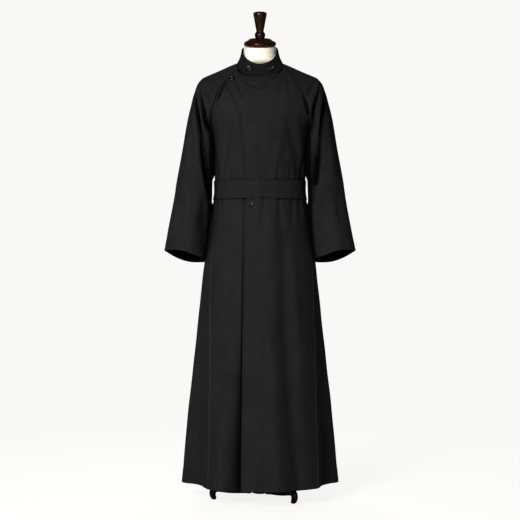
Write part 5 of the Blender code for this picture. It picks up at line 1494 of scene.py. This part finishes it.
def make_legs(looks):
    """Three scrolled legs, thick at the hub, with their toes turned under."""
    path = smooth_rows(LEG, 7)
    corners = np.linspace(0, 2 * math.pi, 20, endpoint=False)
    for k, angle in enumerate(FOOT_ANGLES):
        way = np.array([math.cos(math.radians(angle)), math.sin(math.radians(angle)), 0.0])
        across = np.array([-way[1], way[0], 0.0])
        reach, height, wide, tall = path.T
        run = unit(np.stack([np.gradient(reach), np.gradient(height)], axis=1))
        run[0] = (1.0, 0.0)
        up = np.stack([-run[:, 1], run[:, 0]], axis=1)
        c, s = np.cos(corners), np.sin(corners)
        squarer = 1 / np.maximum(np.abs(c), np.abs(s)) ** 0.25
        side = wide[:, None] / 2 * (c * squarer)[None]
        rise = tall[:, None] / 2 * (s * squarer)[None]
        r = reach[:, None] + up[:, :1] * rise
        z = np.maximum(height[:, None] + up[:, 1:] * rise, 0.0)
        points = r[..., None] * way + side[..., None] * across + z[..., None] * np.array([0, 0, 1.0])
        ring = rings(len(path), len(corners))
        caps = [ring[:1, -2::-1], ring[-1:, :-1]]
        ob = mesh_object(f"leg_{k + 1}_carving", points.reshape(-1, 3), [quads(ring)] + caps)
        dress(ob, looks["wood"], "wood", f"leg_{k + 1}")


# ---------------------------------------------------------------- materials
class Shader:
    """A Principled material with small helpers for its nodes."""

    def __init__(self, name, **sockets):
        self.material = bpy.data.materials.new(name)
        self.material.use_nodes = True
        self.tree = self.material.node_tree
        self.bsdf = self.tree.nodes["Principled BSDF"]
        for key, value in sockets.items():
            self.bsdf.inputs[key.replace("_", " ")].default_value = value
        self.place = self.add("ShaderNodeTexCoord").outputs["Object"]

    def add(self, kind, **settings):
        """Adds a node, its sockets and other settings given by name."""
        node = self.tree.nodes.new(kind)
        for key, value in settings.items():
            if key in node.inputs:
                node.inputs[key].default_value = value
            else:
                setattr(node, key, value)
        return node

    def link(self, a, b):
        self.tree.links.new(a, b)

    def feed(self, socket, value):
        """Gives a socket of the surface its value."""
        self.link(value, self.bsdf.inputs[socket])

    def scaled(self, scale):
        """The object's own places, drawn out along each axis."""
        node = self.add("ShaderNodeMapping")
        node.inputs["Scale"].default_value = scale
        self.link(self.place, node.inputs["Vector"])
        return node.outputs["Vector"]

    def noise(self, scale, detail=2.0, rough=0.5, stretch=(1, 1, 1)):
        node = self.add("ShaderNodeTexNoise", Scale=scale, Detail=detail, Roughness=rough)
        self.link(self.scaled(stretch), node.inputs["Vector"])
        return node.outputs["Fac"]

    def ribs(self, way, scale, **more):
        """Fine straight ribs in the cloth."""
        node = self.add("ShaderNodeTexWave", Scale=scale, bands_direction=way, **more)
        self.link(self.place, node.inputs["Vector"])
        return node.outputs["Fac"]

    def ramp(self, value, stops):
        """Colours from a value between 0 and 1."""
        node = self.add("ShaderNodeValToRGB")
        while len(node.color_ramp.elements) < len(stops):
            node.color_ramp.elements.new(0.5)
        for e, (at, colour) in zip(node.color_ramp.elements, stops):
            e.position, e.color = at, (*colour, 1)
        self.link(value, node.inputs["Fac"])
        return node.outputs["Color"]

    def span(self, value, low, high):
        """A value between 0 and 1 brought between low and high."""
        node = self.add("ShaderNodeMapRange")
        node.inputs["To Min"].default_value, node.inputs["To Max"].default_value = low, high
        self.link(value, node.inputs["Value"])
        return node.outputs["Result"]

    def mix(self, kind, a, b, factor=1.0):
        node = self.add("ShaderNodeMix", data_type="RGBA", blend_type=kind)
        node.inputs["Factor"].default_value = factor
        self.link(a, node.inputs["A"])
        self.link(b, node.inputs["B"])
        return node.outputs["Result"]

    def math(self, operation, a, b):
        node = self.add("ShaderNodeMath", operation=operation)
        for socket, value in zip(node.inputs, (a, b)):
            if isinstance(value, (int, float)):
                socket.default_value = value
            else:
                self.link(value, socket)
        return node.outputs["Value"]

    def shaded_in_folds(self, colour, reach, deepest):
        """A colour with painted shade deep in folds and between parts, from the ambient occlusion there."""
        hollow = self.add("ShaderNodeAmbientOcclusion", samples=AO_RAYS, Distance=reach)
        fall = self.add("ShaderNodeMapRange", interpolation_type="SMOOTHSTEP")
        for key, value in (("From Min", 0.30), ("From Max", 0.95), ("To Min", deepest), ("To Max", 1.0)):
            fall.inputs[key].default_value = value
        self.link(hollow.outputs["AO"], fall.inputs["Value"])
        return self.mix("MULTIPLY", colour, fall.outputs["Result"])

    def bump(self, height, distance, strength=1.0, below=None):
        node = self.add("ShaderNodeBump", Strength=strength, Distance=distance)
        self.link(height, node.inputs["Height"])
        if below is not None:
            self.link(below, node.inputs["Normal"])
        return node.outputs["Normal"]


def twill_material(name="wool_twill", shade=1.0):
    """Black wool twill: a fine diagonal rib, a soft nap, and a little unevenness in the dye, with painted
    light and shade read from the mesh, painted shade from ambient occlusion in the folds, and, with shade
    below 1, a darker copy as painted shade for the collar.
    """
    m = Shader(
        name, Roughness=0.80, Sheen_Weight=0.025, Sheen_Roughness=0.45, Specular_IOR_Level=0.06 * shade,
        Sheen_Tint=(0.85, 0.86, 0.90, 1),
    )
    wave = m.ribs("DIAGONAL", TWILL_RIBS, Distortion=0.6, Detail=1.0)
    fuzz = m.noise(900.0, 3.0, 0.65)
    nap = m.noise(38.0, 4.0, 0.6, stretch=(1, 1, 0.45))
    cloud = m.noise(7.0, 2.0, 0.5)
    dyes = [
        (0.30, (0.0165, 0.0164, 0.0165)), (0.55, (0.0218, 0.0217, 0.0217)),
        (0.75, (0.0270, 0.0268, 0.0266)),
    ]
    # shade below 1 makes a darker copy of the twill: painted shade for the collar.
    dyes = [(at, tuple(c * shade for c in dye)) for at, dye in dyes]
    colour = m.ramp(m.math("ADD", m.math("MULTIPLY", nap, 0.6), m.math("MULTIPLY", cloud, 0.4)), dyes)
    # Painted highlight and shade kept with the mesh lighten or darken the dye.
    rub = m.add("ShaderNodeAttribute", attribute_name="rub").outputs["Fac"]
    colour = m.mix("MULTIPLY", colour, m.math("ADD", rub, 1.0))
    # Painted shade from ambient occlusion, deep in folds and between parts.
    m.feed("Base Color", m.shaded_in_folds(colour, 0.09, 0.06))
    m.feed("Roughness", m.span(nap, 0.72, 0.88))
    ribs = m.bump(wave, 0.00012, 0.16)
    soft = m.bump(fuzz, 0.00012, 0.16, below=ribs)
    m.feed("Normal", m.bump(nap, 0.0004, 0.30, below=soft))
    return m.material


def thread_material():
    """Black sewing thread with a slight lustre."""
    m = Shader("black_thread", Roughness=0.8, Specular_IOR_Level=0.05)
    ply = m.noise(1800.0, 1.0)
    m.feed("Base Color", m.ramp(ply, [(0.3, (0.0020, 0.0020, 0.0020)), (0.7, (0.0050, 0.0050, 0.0050))]))
    m.feed("Normal", m.bump(ply, 0.0001, 0.5))
    return m.material


def button_material():
    """Glossy black horn-like resin, with fine rubbed marks."""
    m = Shader("black_button", Roughness=0.30, IOR=1.58)
    cloud = m.noise(160.0, 3.0)
    m.feed("Base Color", m.ramp(cloud, [(0.3, (0.004, 0.004, 0.004)), (0.8, (0.012, 0.011, 0.010))]))
    dull = m.add("ShaderNodeAttribute", attribute_name="rub").outputs["Fac"]
    m.feed("Roughness", m.math("ADD", m.span(m.noise(500.0, 4.0, 0.7), 0.24, 0.36), dull))
    m.feed("Normal", m.bump(m.noise(260.0, 3.0), 0.00008, 0.25))
    return m.material


def jersey_material():
    """Cream cotton jersey: fine columns of knit and a faint slub."""
    m = Shader(
        "cream_jersey", Roughness=0.88, Sheen_Weight=0.12, Sheen_Roughness=0.5, Specular_IOR_Level=0.25
    )
    wale = m.ribs("X", 260.0, Distortion=0.3)
    course = m.ribs("Z", 330.0, Distortion=0.3)
    slub = m.noise(60.0, 4.0, 0.6, stretch=(1, 1, 6))
    yarn = [(0.3, (0.71, 0.665, 0.575)), (0.6, (0.75, 0.708, 0.618)), (0.8, (0.77, 0.732, 0.645))]
    m.feed("Base Color", m.ramp(slub, yarn))
    knit = m.bump(wale, 0.0002, 0.5)
    rows = m.bump(course, 0.0002, 0.4, below=knit)
    m.feed("Normal", m.bump(slub, 0.0003, 0.4, below=rows))
    return m.material


def wood_material():
    """Dark stained wood with a satin varnish, its grain along the turning."""
    m = Shader("stained_wood", Roughness=0.30, Coat_Weight=0.24, Coat_Roughness=0.07, Specular_IOR_Level=0.20)
    grain = m.noise(26.0, 4.0, 0.50, stretch=(2.6, 2.6, 0.3))
    pores = m.noise(150.0, 4.0, 0.7, stretch=(4, 4, 0.25))
    colour = m.ramp(grain, [
        (0.33, (0.0050, 0.0013, 0.0006)), (0.50, (0.0270, 0.0058, 0.0018)), (0.70, (0.0780, 0.0175, 0.0055)),
    ])
    dark = m.ramp(pores, [(0.34, (0.35, 0.33, 0.32)), (0.52, (1, 1, 1))])
    m.feed("Base Color", m.mix("MULTIPLY", colour, dark))
    m.feed("Roughness", m.span(grain, 0.12, 0.24))
    m.feed("Normal", m.bump(pores, 0.0003, 0.20))
    return m.material


def floor_material():
    """Pale seamless paper: it takes a soft shadow near the stand and is even further off."""
    m = Shader("pale_floor", Roughness=0.9, Specular_IOR_Level=0.0)
    fleck = m.noise(40.0, 3.0, 0.6)
    m.feed("Base Color", m.ramp(fleck, [(0.3, (0.115, 0.113, 0.110)), (0.7, (0.125, 0.123, 0.120))]))
    m.bsdf.inputs["Emission Color"].default_value = (*PAPER, 1)
    m.bsdf.inputs["Emission Strength"].default_value = FLOOR_GLOW
    paper = m.add("ShaderNodeEmission", Color=(*PAPER, 1))
    dim = m.add("ShaderNodeBsdfDiffuse", Color=(0.5, 0.495, 0.485, 1))
    reach = m.add("ShaderNodeVectorMath", operation="LENGTH")
    m.link(m.place, reach.inputs[0])
    far = m.add("ShaderNodeMapRange", interpolation_type="SMOOTHSTEP")
    far.inputs["From Min"].default_value, far.inputs["From Max"].default_value = 0.5, 2.2
    m.link(reach.outputs["Value"], far.inputs["Value"])
    near_or_far = m.add("ShaderNodeMixShader")
    m.link(far.outputs["Result"], near_or_far.inputs["Fac"])
    m.link(m.bsdf.outputs["BSDF"], near_or_far.inputs[1])
    m.link(paper.outputs["Emission"], near_or_far.inputs[2])
    seen = m.add("ShaderNodeMixShader")
    m.link(m.add("ShaderNodeLightPath").outputs["Is Camera Ray"], seen.inputs["Fac"])
    m.link(dim.outputs["BSDF"], seen.inputs[1])
    m.link(near_or_far.outputs["Shader"], seen.inputs[2])
    m.link(seen.outputs["Shader"], m.tree.nodes["Material Output"].inputs["Surface"])
    return m.material


# ---------------------------------------------------------------- stage
def make_stage():
    """A wide pale floor."""
    a = np.linspace(0, 2 * math.pi, 96, endpoint=False)
    rim = np.stack([FLOOR_WIDE * np.cos(a), FLOOR_WIDE * np.sin(a), np.full(96, FLOOR_Z)], axis=1)
    ob = mesh_object("floor", rim, [np.arange(96)[None]])
    ob.data.materials.append(floor_material())


def make_light(name, place, target, size, power):
    """A white lamp with a broad face, turned to its target."""
    data = bpy.data.lights.new(name, "AREA")
    data.shape, data.size, data.size_y = "RECTANGLE", size[0], size[1]
    data.energy = power
    ob = bpy.data.objects.new(name, data)
    bpy.context.scene.collection.objects.link(ob)
    ob.location = place
    ob.rotation_euler = (Vector(target) - Vector(place)).to_track_quat("-Z", "Y").to_euler()
    return ob


def make_lights():
    """A key from the left, a broad fill, and two behind for the outline."""
    make_light("key", (-1.9, -3.9, 2.3), (0, 0, 0.8), (1.6, 1.6), 265)
    make_light("fill", (0.8, -4.8, 1.5), (0, 0, 0.8), (2.2, 2.0), 62)
    for name, x, power in (("back_left", -1.7, 120), ("back_right", 1.7, 80)):
        make_light(name, (x, 4.6, 2.2), (0, 0, 0.9), (1.6, 2.2), power).visible_glossy = False
    make_sky()


def make_sky():
    """White paper all round in the picture, and a dim room for the light on the cloth."""
    world = bpy.data.worlds.new("studio")
    bpy.context.scene.world = world
    world.use_nodes = True
    tree = world.node_tree
    paper = tree.nodes["Background"]
    paper.inputs["Color"].default_value = (*PAPER, 1)
    room = tree.nodes.new("ShaderNodeBackground")
    room.inputs["Color"].default_value = (1.0, 0.995, 0.985, 1)
    room.inputs["Strength"].default_value = ROOM_LIGHT
    rays, mix = tree.nodes.new("ShaderNodeLightPath"), tree.nodes.new("ShaderNodeMixShader")
    tree.links.new(rays.outputs["Is Camera Ray"], mix.inputs["Fac"])
    tree.links.new(room.outputs["Background"], mix.inputs[1])
    tree.links.new(paper.outputs["Background"], mix.inputs[2])
    tree.links.new(mix.outputs["Shader"], tree.nodes["World Output"].inputs["Surface"])
    bpy.context.scene.view_settings.view_transform = "Standard"
    bpy.context.scene.view_settings.gamma = GAMMA


def make_camera():
    """The studio camera, level and straight in front."""
    data = bpy.data.cameras.new("camera")
    data.sensor_width, data.lens = 36.0, 36.0 * FOCAL_PX / 520
    ob = bpy.data.objects.new("camera", data)
    ob.location, ob.rotation_euler = (0, -CAMERA_FAR, CAMERA_Z), (math.pi / 2, 0, 0)
    bpy.context.scene.collection.objects.link(ob)
    bpy.context.scene.camera = ob


# ---------------------------------------------------------------- everything
def main():
    """Everything, in the order in which it is built."""
    make_camera()
    make_stage()
    make_lights()
    looks = {
        # The collar's darker twill is painted shade.
        "twill": twill_material(), "collar_painted_shade_twill": twill_material("collar_twill_painted_darker", COLLAR_PAINTED_SHADE),
        "thread": thread_material(), "button": button_material(),
        "jersey": jersey_material(), "wood": wood_material(),
    }
    cloth = build_cloth()
    shape_cloth(cloth)
    outsides = make_garment(cloth, looks)
    make_cincture(cloth, looks)
    for node, (piece, x, z) in BUTTONS.items():
        make_button(node + "_turning", node, outsides[piece], cloth.faces[piece], x, z, looks)
    make_form(looks)
    make_turnings(looks)
    make_legs(looks)


main()
